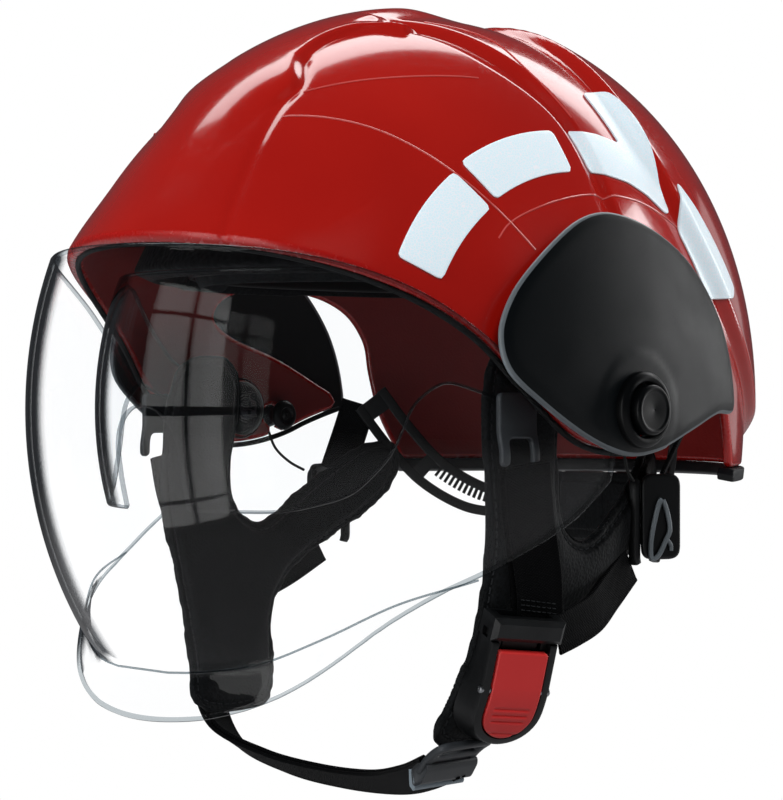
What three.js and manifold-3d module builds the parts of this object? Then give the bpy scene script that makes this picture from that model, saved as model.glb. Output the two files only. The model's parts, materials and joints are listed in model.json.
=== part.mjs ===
// Jet-style technical rescue helmet with an outer face shield, an inner eye shield and a chin harness.
// Units are millimetres. +Z is up and the wearer faces -Y, so +X is the wearer's left.
// The origin is the middle of the axis that both shields swing about.
import * as THREE from 'three';
import { mergeVertices } from 'three/addons/utils/BufferGeometryUtils.js';
import Module from 'manifold-3d';

const wasm = await Module();
wasm.setup();

// ---------------------------------------------------------------- driving dimensions
const SHELL = {
  halfWidth: 112,
  front: 154,
  rear: 160,
  height: 152.2,
  wall: 3.6,
  frontFullness: 1.8,
  rearFullness: 2.2,
};
const CREST_RAISE = 2.4;
const REAR_PANEL_RAISE = 5;
const BRIM_FLARE = 2.8;
const SHELL_SEGMENTS = [44, 24];
const REAR_RIM_Z = -23;
const RIM_TRIM = { height: 5, overhang: 1.4, gap: 0.3, frontY: 86 };

const COVER = { innerOffset: 4.9, outerOffset: 8.2 };
const SHIELD = { halfWidth: 115.8, radius: 158.2, wall: 2.3 };
const EYE_SHIELD = { halfWidth: 99.6, radius: 129, wall: 2 };
const STRIP = { gap: 0.45, thickness: 0.5 };

const HUB = { radius: 8, inner: 100.2, outer: 116.5, runningGap: 0.4 };
const COLLAR = { radius: 13.3, bore: 9.5, inner: 120.6, outer: 124 };
const BUTTON = { radius: 9, inner: 119, outer: 126.8 };
const CONE = { radius: 10.5, tipRadius: 6.2, inner: 93.6, outer: 97 };
const SCREW = { radius: 5, inner: 91.6, outer: 93.3 };
const STUD = { radius: 6.2, tipRadius: 4, y: 26, z: -3, inner: 98.4, outer: 105 };
const SHIELD_BOSS = 16;
const EYE_BOSS = 13;

const LINER = { halfWidth: 96, front: 124.6, rear: 152, height: 125, rearHeight: 145, wall: 9, bottom: 50 };
const GARAGE_Y = 18;
const HEADBAND = { halfWidth: 67.5, front: 91, rear: 113, wall: 1.8, low: 49, high: 64, halfAngle: 150 };
const CROWN_PAD = {
  halfWidth: LINER.halfWidth - 11,
  front: 112,
  rear: 137,
  top: LINER.height - LINER.wall - 1.2,
  thickness: 7,
  radius: 52,
  y: 4,
};
const NAPE_PAD = { halfWidth: 34, front: 104, rear: 110, below: 13, above: 15 };
const BROW_PAD = { inset: 1.4, wall: 5, low: 46, high: 63, halfAngle: 62 };

const WEBBING = { width: 18, thickness: 2 };
const PAD = { thickness: 8, curl: 21, rearY: 66 };

const NAPE = { y: 119, z: -42, width: 44, depth: 13, height: 30 };
const WHEEL = { radius: 11, depth: 7 };
const RACK = { height: 9, thickness: 2.2, inner: 8, outer: 38, y: 116.5, slotHeight: 9.8, slotDepth: 3 };

const STRAP_HOOK = {
  inner: 97.6,
  thickness: 2.6,
  front: -50,
  rear: -32,
  bottom: -11,
  top: 6,
  leg: 3,
  legOut: 1.4,
  legBottom: -19,
  legTop: -5,
};
const REAR_ADJUSTER = {
  thickness: 3.2,
  width: 20,
  height: 34,
  windowWidth: 16,
  windowHeight: 6.8,
  pitch: 11,
  yaw: 12,
  position: [88, 41, -42],
};
const BUCKLE = {
  position: [86.6, -33.4, -99],
  yaw: -20,
  lean: 17,
  sweep: -6,
  width: 27.5,
  height: 39.5,
  depth: 13,
};
const BUTTON_PLATE = { width: 19.5, height: 34.5, depth: 3.2 };
const TONGUE = { width: 27, crossbar: 8, blade: 15, thickness: 3, reach: 17 };
const PIN = { radius: 1.5, z: 2 };

// ---------------------------------------------------------------- small helpers
const LOOKS = {
  red: { color: 0xa81e16, roughness: 0.18, metalness: 0 },
  black: { color: 0x1c1f21, roughness: 0.55, metalness: 0 },
  softBlack: { color: 0x101214, roughness: 0.9, metalness: 0 },
  webbing: { color: 0x15181a, roughness: 0.85, metalness: 0 },
  clear: { color: 0xe6ecee, roughness: 0.04, metalness: 0 },
  reflective: { color: 0xcde0ed, roughness: 0.35, metalness: 0 },
  foam: { color: 0x121314, roughness: 0.95, metalness: 0 },
  grey: { color: 0x3a3f42, roughness: 0.5, metalness: 0 },
  buttonRed: { color: 0xb03434, roughness: 0.4, metalness: 0 },
  steel: { color: 0xb8bcc0, roughness: 0.3, metalness: 1 },
};
const helmet = new THREE.Group();

function add(name, geometry, look, parent = helmet) {
  const mesh = new THREE.Mesh(geometry, new THREE.MeshStandardMaterial(LOOKS[look]));
  mesh.name = name;
  parent.add(mesh);
  return mesh;
}

function signedVolume(geometry) {
  const position = geometry.attributes.position;
  const index = geometry.index;
  const corner = (i) => new THREE.Vector3().fromBufferAttribute(position, index ? index.getX(i) : i);
  const count = index ? index.count : position.count;
  let volume = 0;
  for (let i = 0; i < count; i += 3) {
    volume += corner(i).dot(corner(i + 1).cross(corner(i + 2))) / 6;
  }
  return volume;
}

// Merged, position-only copy of a geometry with its faces pointing out.
function closed(geometry) {
  const bare = geometry.clone();
  for (const attribute of Object.keys(bare.attributes)) {
    if (attribute !== 'position') bare.deleteAttribute(attribute);
  }
  const merged = mergeVertices(bare, 1e-4);
  if (signedVolume(merged) < 0) {
    const order = merged.index.array;
    for (let i = 0; i < order.length; i += 3) {
      [order[i], order[i + 1]] = [order[i + 1], order[i]];
    }
  }
  return merged;
}

function solid(geometry) {
  const merged = closed(geometry);
  return new wasm.Manifold(new wasm.Mesh({
    numProp: 3,
    vertProperties: Float32Array.from(merged.attributes.position.array),
    triVerts: Uint32Array.from(merged.index.array),
  }));
}

function fromSolid(manifold) {
  const mesh = manifold.getMesh();
  const geometry = new THREE.BufferGeometry();
  geometry.setAttribute('position', new THREE.BufferAttribute(Float32Array.from(mesh.vertProperties), 3));
  geometry.setIndex(Array.from(mesh.triVerts));
  geometry.computeVertexNormals();
  return geometry;
}

function mirrored(geometry) {
  return closed(geometry.clone().scale(-1, 1, 1));
}

// One piece on the wearer's left at +X, and its mirror image on the right.
function addPair(name, geometry, look) {
  add(`left_${name}`, geometry, look);
  add(`right_${name}`, mirrored(geometry), look);
}

// Moves every vertex of a geometry through a function of its own position.
function reshape(geometry, place) {
  const position = geometry.attributes.position;
  for (let i = 0; i < position.count; i += 1) {
    const point = place(position.getX(i), position.getY(i), position.getZ(i));
    position.setXYZ(i, point.x, point.y, point.z);
  }
  return closed(geometry);
}

function box(low, high) {
  const size = high.map((value, axis) => value - low[axis]);
  const middle = high.map((value, axis) => (value + low[axis]) / 2);
  return new THREE.BoxGeometry(...size).translate(...middle);
}

// A cylinder or cone along X; the radii are given at the low and the high end.
function rodX(lowRadius, highRadius, x0, x1, y = 0, z = 0, sides = 24) {
  const rod = new THREE.CylinderGeometry(highRadius, lowRadius, x1 - x0, sides);
  return rod.rotateZ(-Math.PI / 2).translate((x0 + x1) / 2, y, z);
}

function rodY(radius, y0, y1, x, z, sides = 24) {
  return new THREE.CylinderGeometry(radius, radius, y1 - y0, sides).translate(x, (y0 + y1) / 2, z);
}

// A smooth closed outline through [a, b] points.
function smoothOutline(points, divisions) {
  const corners = points.map(([a, b]) => new THREE.Vector3(a, b, 0));
  const curve = new THREE.CatmullRomCurve3(corners, true, 'centripetal');
  return new THREE.Shape(curve.getPoints(divisions).slice(0, -1).map((p) => new THREE.Vector2(p.x, p.y)));
}

function straightOutline(points) {
  return new THREE.Shape(points.map(([a, b]) => new THREE.Vector2(a, b)));
}

// Extrudes an outline drawn in side view, as (Y, Z), along X.
function prismX(shape, x0, x1) {
  const prism = new THREE.ExtrudeGeometry(shape, { depth: x1 - x0, bevelEnabled: false });
  const toSideView = new THREE.Matrix4().makeBasis(
    new THREE.Vector3(0, 1, 0),
    new THREE.Vector3(0, 0, 1),
    new THREE.Vector3(1, 0, 0),
  );
  return prism.applyMatrix4(toSideView).translate(x0, 0, 0);
}

// A flat band of webbing along a curve. Its width runs along one direction: turned by yaw, then tipped.
function webbing(points, { yaw, tip, width = WEBBING.width, thickness = WEBBING.thickness, steps = 16 }) {
  const curve = new THREE.CatmullRomCurve3(points.map((p) => new THREE.Vector3(...p)), false, 'centripetal');
  const angle = THREE.MathUtils.degToRad(yaw);
  const across = new THREE.Vector3(Math.sin(angle), Math.cos(angle), Math.tan(THREE.MathUtils.degToRad(tip)))
    .normalize();
  return reshape(new THREE.BoxGeometry(1, 1, 1, steps, 1, 1), (u, v, w) => {
    const at = Math.min(Math.max(u + 0.5, 0), 1);
    const outward = new THREE.Vector3().crossVectors(curve.getTangentAt(at), across).normalize();
    return curve.getPointAt(at).addScaledVector(across, v * width).addScaledVector(outward, w * thickness);
  });
}

// ---------------------------------------------------------------- shell surface
function smoothStep(low, high, value) {
  const t = Math.min(Math.max((value - low) / (high - low), 0), 1);
  return t * t * (3 - 2 * t);
}

// How far the moulded crest, the rear panel and the brim's flare stand out of the plain dome.
function moulding(x, y, z) {
  const crest = smoothStep(-84, -72, y) * (1 - smoothStep(26, 31, Math.abs(x))) * smoothStep(60, 90, z);
  const panelEdge = 40 + (Math.max(122 - z, 0) / 80) ** 2 * 33;
  const panel = smoothStep(panelEdge - 5, panelEdge + 3, y) * smoothStep(-18, 0, z);
  const brim = smoothStep(60, 120, -y) * (1 - smoothStep(52, 84, z));
  return Math.max(CREST_RAISE * crest, REAR_PANEL_RAISE * panel, BRIM_FLARE * brim);
}

// A closed egg that follows the outside of the shell at a distance.
function shellEgg(offset, withMoulding = false, sizes = SHELL) {
  const { halfWidth, front, rear, height, frontFullness, rearFullness } = sizes;
  const ball = new THREE.SphereGeometry(1, ...SHELL_SEGMENTS).rotateX(Math.PI / 2);
  return reshape(ball, (x, y, z) => {
    const azimuth = Math.atan2(x, -y);
    const backness = (1 - Math.cos(azimuth)) / 2;
    const power = 2 / (frontFullness + (rearFullness - frontFullness) * backness);
    const level = Math.sqrt(Math.max(1 - z * z, 0)) ** power;
    const rise = Math.sign(z) * Math.abs(z) ** power;
    const length = (y < 0 ? front : rear) + offset;
    const point = new THREE.Vector3(
      (halfWidth + offset) * level * Math.sin(azimuth),
      -length * level * Math.cos(azimuth),
      (height + offset) * rise,
    );
    const raise = withMoulding ? moulding(point.x, point.y, point.z) : 0;
    return point.multiplyScalar(1 + raise / point.length());
  });
}

// A closed ball stretched to half a width and one radius about the X axis, so it can turn about X in place.
function spindle(halfWidth, radius, segments = [38, 26]) {
  const ball = new THREE.SphereGeometry(1, ...segments).rotateZ(Math.PI / 2);
  return ball.scale(halfWidth, radius, radius);
}

function spindleShell({ halfWidth, radius, wall }) {
  return solid(spindle(halfWidth, radius)).subtract(solid(spindle(halfWidth - wall, radius - wall)));
}

// ---------------------------------------------------------------- outer shell
const FAR = 220;
const LOWER_EDGE = [
  [-166, 65], [-118, 55], [-86, 42], [-62, 26], [-44, 7], [-22, -10], [4, -14.5], [28, -11], [46, -4],
  [60, 1],
];
const EAR_NOTCH = [
  [56, 7], [30, 21], [2, 31], [-9, 40], [2, 49], [36, 50], [58, 43], [70, 30], [74, 15], [79, -3],
  [88, REAR_RIM_Z],
];

function shellCutOutline() {
  const smooth = (points, count) => new THREE.SplineCurve(points.map(([y, z]) => new THREE.Vector2(y, z)))
    .getPoints(count);
  const edge = [...smooth(LOWER_EDGE, 27), ...smooth(EAR_NOTCH, 30)];
  const outside = [[FAR, REAR_RIM_Z], [FAR, -FAR], [-FAR, -FAR], [-FAR, LOWER_EDGE[0][1]]];
  return new THREE.Shape([...edge, ...outside.map(([y, z]) => new THREE.Vector2(y, z))]);
}

function outerShell() {
  const hollow = solid(shellEgg(0, true)).subtract(solid(shellEgg(-SHELL.wall)));
  const cut = solid(prismX(shellCutOutline(), -FAR, FAR));
  const pivotHole = solid(rodX(HUB.radius + HUB.runningGap, HUB.radius + HUB.runningGap, -FAR, FAR));
  const studHole = solid(rodX(STUD.tipRadius + 0.4, STUD.tipRadius + 0.4, -FAR, FAR, STUD.y, STUD.z));
  return fromSolid(hollow.subtract(cut).subtract(pivotHole).subtract(studHole));
}
add('outer_shell', outerShell(), 'red');

// ---------------------------------------------------------------- rims
function rearRimTrim() {
  const band = solid(shellEgg(RIM_TRIM.overhang)).subtract(solid(shellEgg(-SHELL.wall - RIM_TRIM.overhang)));
  const top = REAR_RIM_Z - RIM_TRIM.gap;
  const keep = solid(box([-FAR, RIM_TRIM.frontY, top - RIM_TRIM.height], [FAR, FAR, top]));
  return fromSolid(band.intersect(keep));
}
add('rear_rim_trim', rearRimTrim(), 'black');

// The side-view lower edge lifted onto the shell, from the right tongue round the brow to the left one.
function edgeTrimPath() {
  const drop = 1.6;
  const inset = SHELL.wall / 2;
  const sidePoints = LOWER_EDGE.slice(1).map(([y, z]) => new THREE.Vector2(y, z));
  const side = new THREE.SplineCurve(sidePoints).getPoints(26);
  const fullness = 2 / SHELL.frontFullness;
  const onShell = (y, z) => {
    const level = (1 - Math.abs(z / (SHELL.height - inset)) ** SHELL.frontFullness) ** (fullness / 2);
    const length = (y < 0 ? SHELL.front : SHELL.rear) - inset;
    const across = Math.sqrt(Math.max(level ** 2 - (y / length) ** 2, 0));
    return (SHELL.halfWidth - inset) * across;
  };
  const left = side.map((p) => new THREE.Vector3(onShell(p.x, p.y), p.x, p.y - drop));
  const brow = [];
  const [startY, startZ] = LOWER_EDGE[1];
  for (const share of [0.8, 0.55, 0.28, 0]) {
    const x = left[0].x * share;
    const guess = startZ + (LOWER_EDGE[0][1] - startZ) * (1 - share) * 0.55;
    const level = (1 - (guess / (SHELL.height - inset)) ** SHELL.frontFullness) ** (fullness / 2);
    const y = -(SHELL.front - inset) * Math.sqrt(level ** 2 - (x / (SHELL.halfWidth - inset)) ** 2);
    const z = startZ + (LOWER_EDGE[0][1] - startZ) * ((y - startY) / (LOWER_EDGE[0][0] - startY));
    brow.push(new THREE.Vector3(x, y, z - drop));
  }
  const half = [...left.reverse(), ...brow];
  const other = half.slice(0, -1).reverse().map((p) => new THREE.Vector3(-p.x, p.y, p.z));
  return new THREE.CatmullRomCurve3([...half, ...other], false, 'centripetal');
}

function edgeTrim() {
  const section = new THREE.Shape();
  section.absarc(0, 0, 1.1, 0, Math.PI * 2);
  return closed(new THREE.ExtrudeGeometry(section, {
    extrudePath: edgeTrimPath(),
    steps: 60,
    curveSegments: 3,
    bevelEnabled: false,
  }));
}
add('shell_edge_trim', edgeTrim(), 'black');

// ---------------------------------------------------------------- reflective strips
const STRIP_OUTLINES = {
  brow: [[-57, 83], [-48, 71], [-72, 43], [-84, 52]],
  temple: [[-52, 86], [-7, 101], [-5, 86], [-44, 74]],
  chevron: [[5, 102], [30, 101], [30, 117], [37, 116], [37, 75], [24, 85], [6, 87]],
  rear: [[55, 86], [64, 77], [86, 47], [83, 43], [66, 42], [52, 66]],
};

function stripOn(outline, low, high) {
  const outside = solid(shellEgg(STRIP.gap + STRIP.thickness, true));
  const skin = outside.subtract(solid(shellEgg(STRIP.gap, true)));
  return fromSolid(skin.intersect(solid(prismX(straightOutline(outline), low, high))));
}
for (const [place, outline] of Object.entries(STRIP_OUTLINES)) {
  add(`left_reflector_${place}`, stripOn(outline, 20, FAR), 'reflective');
  add(`right_reflector_${place}`, stripOn(outline, -FAR, -20), 'reflective');
}

// ---------------------------------------------------------------- side covers and pivots
const COVER_OUTLINE = [
  [-61, 26], [-55, 39], [-41, 53], [-18, 68], [-2, 71.5], [20, 67], [42, 55], [60, 34],
  [68, 12], [68, -1], [54, -2], [34, -8], [12, -15], [-5, -16.5], [-24, -11], [-46, 2], [-59, 14],
];

function sideCover() {
  const skin = solid(shellEgg(COVER.outerOffset)).subtract(solid(shellEgg(COVER.innerOffset)));
  const outline = solid(prismX(smoothOutline(COVER_OUTLINE, 51), 60, FAR));
  const hole = solid(rodX(COLLAR.bore, COLLAR.bore, 60, FAR));
  return fromSolid(skin.intersect(outline).subtract(hole));
}
addPair('side_cover', sideCover(), 'black');

function ringX(outerRadius, bore, x0, x1, y = 0, z = 0) {
  const overrun = 1;
  const ring = solid(rodX(outerRadius, outerRadius, x0, x1, y, z));
  return fromSolid(ring.subtract(solid(rodX(bore, bore, x0 - overrun, x1 + overrun, y, z))));
}
addPair('pivot_collar', ringX(COLLAR.radius, COLLAR.bore, COLLAR.inner, COLLAR.outer), 'black');
addPair('release_button', rodX(BUTTON.radius, BUTTON.radius, BUTTON.inner, BUTTON.outer), 'black');
addPair('pivot_hub', rodX(HUB.radius, HUB.radius, HUB.inner, HUB.outer), 'grey');
addPair('pivot_cone', rodX(CONE.tipRadius, CONE.radius, CONE.inner, CONE.outer), 'grey');
addPair('pivot_screw', rodX(SCREW.radius, SCREW.radius, SCREW.inner, SCREW.outer), 'steel');
addPair('strap_stud', rodX(STUD.radius, STUD.radius, STUD.inner, STUD.outer, STUD.y, STUD.z), 'black');

// ---------------------------------------------------------------- face shield
const SHIELD_TOP = [[-170, 60], [-120, 54], [-88, 43], [-64, 27], [-45, 10], [-28, -1]];
const SHIELD_BOTTOM = [[-8, -25], [-26, -40], [-52, -54], [-86, -72], [-120, -106], [-170, -109]];

function shieldOutline() {
  const flat = (points) => points.map(([y, z]) => new THREE.Vector2(y, z));
  const toPoints = (points) => new THREE.SplineCurve(flat(points)).getPoints(18);
  return new THREE.Shape([...toPoints(SHIELD_TOP), new THREE.Vector2(-6, -6), ...toPoints(SHIELD_BOTTOM)]);
}

function faceShield() {
  const overrun = 60;
  const boss = solid(rodX(SHIELD_BOSS, SHIELD_BOSS, -FAR, FAR));
  const region = solid(prismX(shieldOutline(), -FAR, FAR)).add(boss);
  const rearCut = solid(box([-FAR, SHIELD_BOSS + 2, -FAR], [FAR, FAR, FAR]));
  const bore = HUB.radius + HUB.runningGap;
  const hole = solid(rodX(bore, bore, -FAR - overrun, FAR + overrun));
  return fromSolid(spindleShell(SHIELD).intersect(region).subtract(rearCut).subtract(hole));
}
add('face_shield', faceShield(), 'clear');

// ---------------------------------------------------------------- eye shield
const EYE_OUTLINE = [
  [-170, 50], [-96, 50], [-78, 47], [-68, 40], [-40, 19], [-10, 10], [-4, -9], [-40, 2], [-64, 10],
  [-74, 2], [-80, -16], [-90, -30], [-106, -36], [-170, -36],
];
const NOSE_NOTCH = { halfWidth: 17, top: -2, radius: 14 };

function eyeShield() {
  const boss = solid(rodX(EYE_BOSS, EYE_BOSS, -FAR, FAR));
  const region = solid(prismX(straightOutline(EYE_OUTLINE), -FAR, FAR)).add(boss);
  const { halfWidth, top, radius } = NOSE_NOTCH;
  const notchLow = solid(box([-halfWidth, -FAR, -FAR], [halfWidth, -60, top - radius]));
  const notchTop = solid(rodY(halfWidth, -FAR, -60, 0, top - radius));
  const bore = HUB.radius + HUB.runningGap;
  const hole = solid(rodX(bore, bore, -FAR, FAR));
  const rearCut = solid(box([-FAR, EYE_BOSS + 2, -FAR], [FAR, FAR, FAR]));
  const lens = spindleShell(EYE_SHIELD).intersect(region).subtract(rearCut).subtract(hole);
  return fromSolid(lens.subtract(notchLow).subtract(notchTop));
}
add('eye_shield', eyeShield(), 'clear');

// ---------------------------------------------------------------- liner and headband
// Egg of plain ellipses with its own front, rear and height.
function liningEgg(halfWidth, front, rear, height, segments = [32, 18]) {
  const ball = new THREE.SphereGeometry(1, ...segments).rotateX(Math.PI / 2);
  return reshape(ball, (x, y, z) => new THREE.Vector3(x * halfWidth, y * (y < 0 ? front : rear), z * height));
}

function impactLiner() {
  const { halfWidth, front, rear, height, rearHeight, wall, bottom } = LINER;
  const frontBody = solid(liningEgg(halfWidth, front, rear, height));
  const rearBody = solid(liningEgg(halfWidth, front, rear, rearHeight))
    .intersect(solid(box([-FAR, GARAGE_Y, bottom], [FAR, FAR, FAR])));
  const cavity = solid(liningEgg(halfWidth - wall, front - wall, rear - wall, height - wall));
  const below = solid(box([-FAR, -FAR, -FAR], [FAR, FAR, bottom]));
  const browCut = solid(box([-FAR, -FAR, -FAR], [FAR, -58, HEADBAND.low + 2]));
  return fromSolid(frontBody.add(rearBody).subtract(cavity).subtract(below).subtract(browCut));
}
add('impact_liner', impactLiner(), 'foam');

// An upright wall that follows part of an ellipse; the angle is measured from the brow.
function ellipseWall(halfWidth, front, rear, wall, low, high, fromAngle, toAngle, steps) {
  return reshape(new THREE.BoxGeometry(1, 1, 1, steps, 1, 1), (u, v, w) => {
    const angle = THREE.MathUtils.degToRad(fromAngle + (toAngle - fromAngle) * (u + 0.5));
    const length = Math.cos(angle) > 0 ? front : rear;
    const out = v * wall;
    return new THREE.Vector3(
      (halfWidth + out) * Math.sin(angle),
      -(length + out) * Math.cos(angle),
      w > 0 ? high : low,
    );
  });
}

const { halfWidth: bandX, front: bandFront, rear: bandRear, wall: bandWall } = HEADBAND;
const { low: bandLow, high: bandHigh, halfAngle: bandReach } = HEADBAND;
const band = ellipseWall(bandX, bandFront, bandRear, bandWall, bandLow, bandHigh, -bandReach, bandReach, 40);
add('headband', band, 'black');

const padX = bandX - BROW_PAD.inset - BROW_PAD.wall / 2;
const padFront = bandFront - BROW_PAD.inset - BROW_PAD.wall / 2;
const { halfAngle, low: padLow, high: padHigh } = BROW_PAD;
const padWall = BROW_PAD.wall;
const sweatPad = ellipseWall(padX, padFront, bandRear, padWall, padLow, padHigh, -halfAngle, halfAngle, 28);
add('brow_pad', sweatPad, 'softBlack');

// A low pad that spreads the load over the crown, under the liner.
function crownPad() {
  const { halfWidth, front, rear, top, thickness, radius, y } = CROWN_PAD;
  const outside = solid(liningEgg(halfWidth, front, rear, top));
  const [x, foremost, rearmost, ceiling] = [halfWidth, front, rear, top].map((size) => size - thickness);
  const inside = solid(liningEgg(x, foremost, rearmost, ceiling));
  const drum = new THREE.CylinderGeometry(radius, radius, 60, 40).rotateX(Math.PI / 2);
  const keep = solid(drum.translate(0, y, top));
  return fromSolid(outside.subtract(inside).intersect(keep));
}
add('crown_pad', crownPad(), 'softBlack');

// ---------------------------------------------------------------- nape ratchet
const BAND_ARM = [[84, 62, 4], [77, 72, -12], [66, 82, -28], [54, 97, -39], [45, 110, -42]];

function bandArm() {
  return webbing(BAND_ARM, { yaw: -40, tip: 40, width: 15, thickness: 1.8, steps: 14 });
}
addPair('band_arm', bandArm(), 'black');

function rackBar(sign) {
  const zMiddle = NAPE.z + sign * (WHEEL.radius * 0.62);
  const low = [RACK.inner, RACK.y - RACK.thickness / 2, zMiddle - RACK.height / 2];
  const high = [RACK.outer, RACK.y + RACK.thickness / 2, zMiddle + RACK.height / 2];
  return box(low, high);
}
add('left_rack', rackBar(1), 'black');
add('right_rack', mirrored(rackBar(-1)), 'black');

function napeHousing() {
  const { y, z, width, depth, height } = NAPE;
  const corner = 7;
  const shape = new THREE.Shape();
  const w = width / 2;
  const h = height / 2;
  shape.moveTo(-w + corner, -h).lineTo(w - corner, -h).quadraticCurveTo(w, -h, w, -h + corner);
  shape.lineTo(w, h - corner).quadraticCurveTo(w, h, w - corner, h);
  shape.lineTo(-w + corner, h).quadraticCurveTo(-w, h, -w, h - corner);
  shape.lineTo(-w, -h + corner).quadraticCurveTo(-w, -h, -w + corner, -h);
  const block = new THREE.ExtrudeGeometry(shape, { depth, bevelEnabled: false, curveSegments: 6 });
  const body = solid(block.rotateX(Math.PI / 2).translate(0, y + depth / 2, z));
  const slot = (sign) => {
    const middle = z + sign * (WHEEL.radius * 0.62);
    const half = RACK.slotHeight / 2;
    const front = RACK.y - RACK.slotDepth / 2;
    return solid(box([-width, front, middle - half], [width, front + RACK.slotDepth, middle + half]));
  };
  const wheelBore = solid(rodY(WHEEL.radius + 0.5, y - 1, y + depth, 0, z));
  return fromSolid(body.subtract(slot(1)).subtract(slot(-1)).subtract(wheelBore));
}
add('nape_housing', napeHousing(), 'black');

// The knob has grip ribs round its rim.
function ratchetWheel() {
  const ribs = 18;
  const shape = new THREE.Shape();
  for (let i = 0; i < ribs * 2; i += 1) {
    const radius = i % 2 ? WHEEL.radius : WHEEL.radius - 0.9;
    const angle = (i / (ribs * 2)) * Math.PI * 2;
    const move = i ? 'lineTo' : 'moveTo';
    shape[move](radius * Math.cos(angle), radius * Math.sin(angle));
  }
  const knob = new THREE.ExtrudeGeometry(shape, { depth: WHEEL.depth, bevelEnabled: false });
  const front = RACK.y + RACK.slotDepth / 2 + 0.6;
  return closed(knob.rotateX(Math.PI / 2).translate(0, front + WHEEL.depth + 2, NAPE.z));
}
add('ratchet_wheel', ratchetWheel(), 'black');
const { halfWidth: napeX, front: napeFront, rear: napeRear, below, above } = NAPE_PAD;
const napeCushion = box([-napeX, napeFront, NAPE.z - below], [napeX, napeRear, NAPE.z + above]);
add('nape_pad', napeCushion, 'softBlack');

// ---------------------------------------------------------------- cheek pads
// Side-view outline of the Y-shaped pad as (Y, Z).
const PAD_OUTLINE = [
  [-34, 24], [-18, 24], [-8, 14], [-7, -5], [-9, -28], [-6, -40], [2, -45], [11, -41], [38, -21], [52, -12],
  [64, -11], [69, -20], [66, -36], [54, -48], [40, -57], [16, -72], [4, -86], [-2, -104], [-8, -118],
  [-18, -123], [-44, -123], [-54, -116], [-51, -100], [-49, -80], [-50, -50], [-52, -20], [-50, 5], [-44, 20],
];
// The pad's outer face from the top down, as (X, Z); behind the ear it also curves in round the head.
const PAD_FACE = [[83.5, 30], [87.5, 2], [91.5, -38], [87, -62], [78, -88], [64.5, -118], [61, -130]];

function cheekPad() {
  const face = new THREE.SplineCurve(PAD_FACE.map(([x, z]) => new THREE.Vector2(x, z)));
  const plate = reshape(new THREE.BoxGeometry(1, 1, 1, 1, 10, 16), (u, v, w) => {
    const edge = face.getPoint(0.5 - w);
    const y = v * 150 + 5;
    const curl = PAD.curl * (Math.max(y, 0) / PAD.rearY) ** 2;
    return new THREE.Vector3(edge.x - curl + (u - 0.5) * PAD.thickness, y, edge.y);
  });
  return fromSolid(solid(plate).intersect(solid(prismX(smoothOutline(PAD_OUTLINE, 84), 20, FAR))));
}
addPair('cheek_pad', cheekPad(), 'softBlack');

// ---------------------------------------------------------------- straps
const FRONT_STRAP = [[100.5, -39, -21], [98.5, -34, -45], [96, -28, -60], [93.9, -24, -70]];
const UPPER_REAR_STRAP = [[93.5, 64, 2], [92, 58, -9], [89.5, 47.5, -23]];
const REAR_STRAP = [[86.5, 31, -61], [90, 18, -67], [93.5, 5, -73.5], [94.8, -11, -79]];
const CHIN_STRAP = [
  [-92.6, -25, -77], [-87.5, -28, -98], [-79.5, -33, -114], [-62, -37, -130], [-38, -31, -139],
  [-12, -25, -143], [16, -24, -141.5], [40, -31, -137], [55, -37.5, -131.8],
];

addPair('front_strap', webbing(FRONT_STRAP, { yaw: 17, tip: -8 }), 'webbing');
addPair('rear_strap_upper', webbing(UPPER_REAR_STRAP, { yaw: -30, tip: 12, width: 15, steps: 8 }), 'webbing');
addPair('rear_strap', webbing(REAR_STRAP, { yaw: 0, tip: -65, width: 15, steps: 12 }), 'webbing');

// The chin strap's width runs fore and aft, with its front edge higher.
add('chin_strap', webbing(CHIN_STRAP, { yaw: 0, tip: -32, thickness: 3, steps: 30 }), 'webbing');

// A flat arch on the strap stud whose two legs hold the front strap.
function strapHook() {
  const { inner, thickness, front, rear, bottom, top, leg, legOut, legBottom, legTop } = STRAP_HOOK;
  const plate = solid(box([inner, front, bottom], [inner + thickness, rear, top]));
  const legInner = inner + legOut;
  const legs = [front, rear - leg].map((y) => (
    solid(box([legInner, y, legBottom], [legInner + thickness, y + leg, legTop]))
  ));
  return fromSolid(plate.add(legs[0]).add(legs[1]));
}
addPair('strap_hook', strapHook(), 'grey');

// A ladder frame that the rear strap runs through.
function rearAdjuster() {
  const { thickness, width, height, windowWidth, windowHeight, pitch, yaw, position } = REAR_ADJUSTER;
  const frame = solid(box([-thickness / 2, -width / 2, -height / 2], [thickness / 2, width / 2, height / 2]));
  const reach = [windowWidth / 2, windowHeight / 2];
  const windows = [-pitch, 0, pitch].map((z) => (
    solid(box([-thickness, -reach[0], z - reach[1]], [thickness, reach[0], z + reach[1]]))
  ));
  return fromSolid(windows.reduce((left, window) => left.subtract(window), frame))
    .rotateZ(THREE.MathUtils.degToRad(yaw))
    .translate(...position);
}
addPair('rear_adjuster', rearAdjuster(), 'black');

// ---------------------------------------------------------------- chin buckle
// In the buckle's own frame +X faces out, Y runs across the strap and +Z runs up it.
const buckle = new THREE.Group();
buckle.position.set(...BUCKLE.position);
const [sweep, lean, yaw] = [BUCKLE.sweep, BUCKLE.lean, BUCKLE.yaw].map(THREE.MathUtils.degToRad);
buckle.rotation.set(sweep, lean, yaw, 'ZYX');
helmet.add(buckle);

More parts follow.
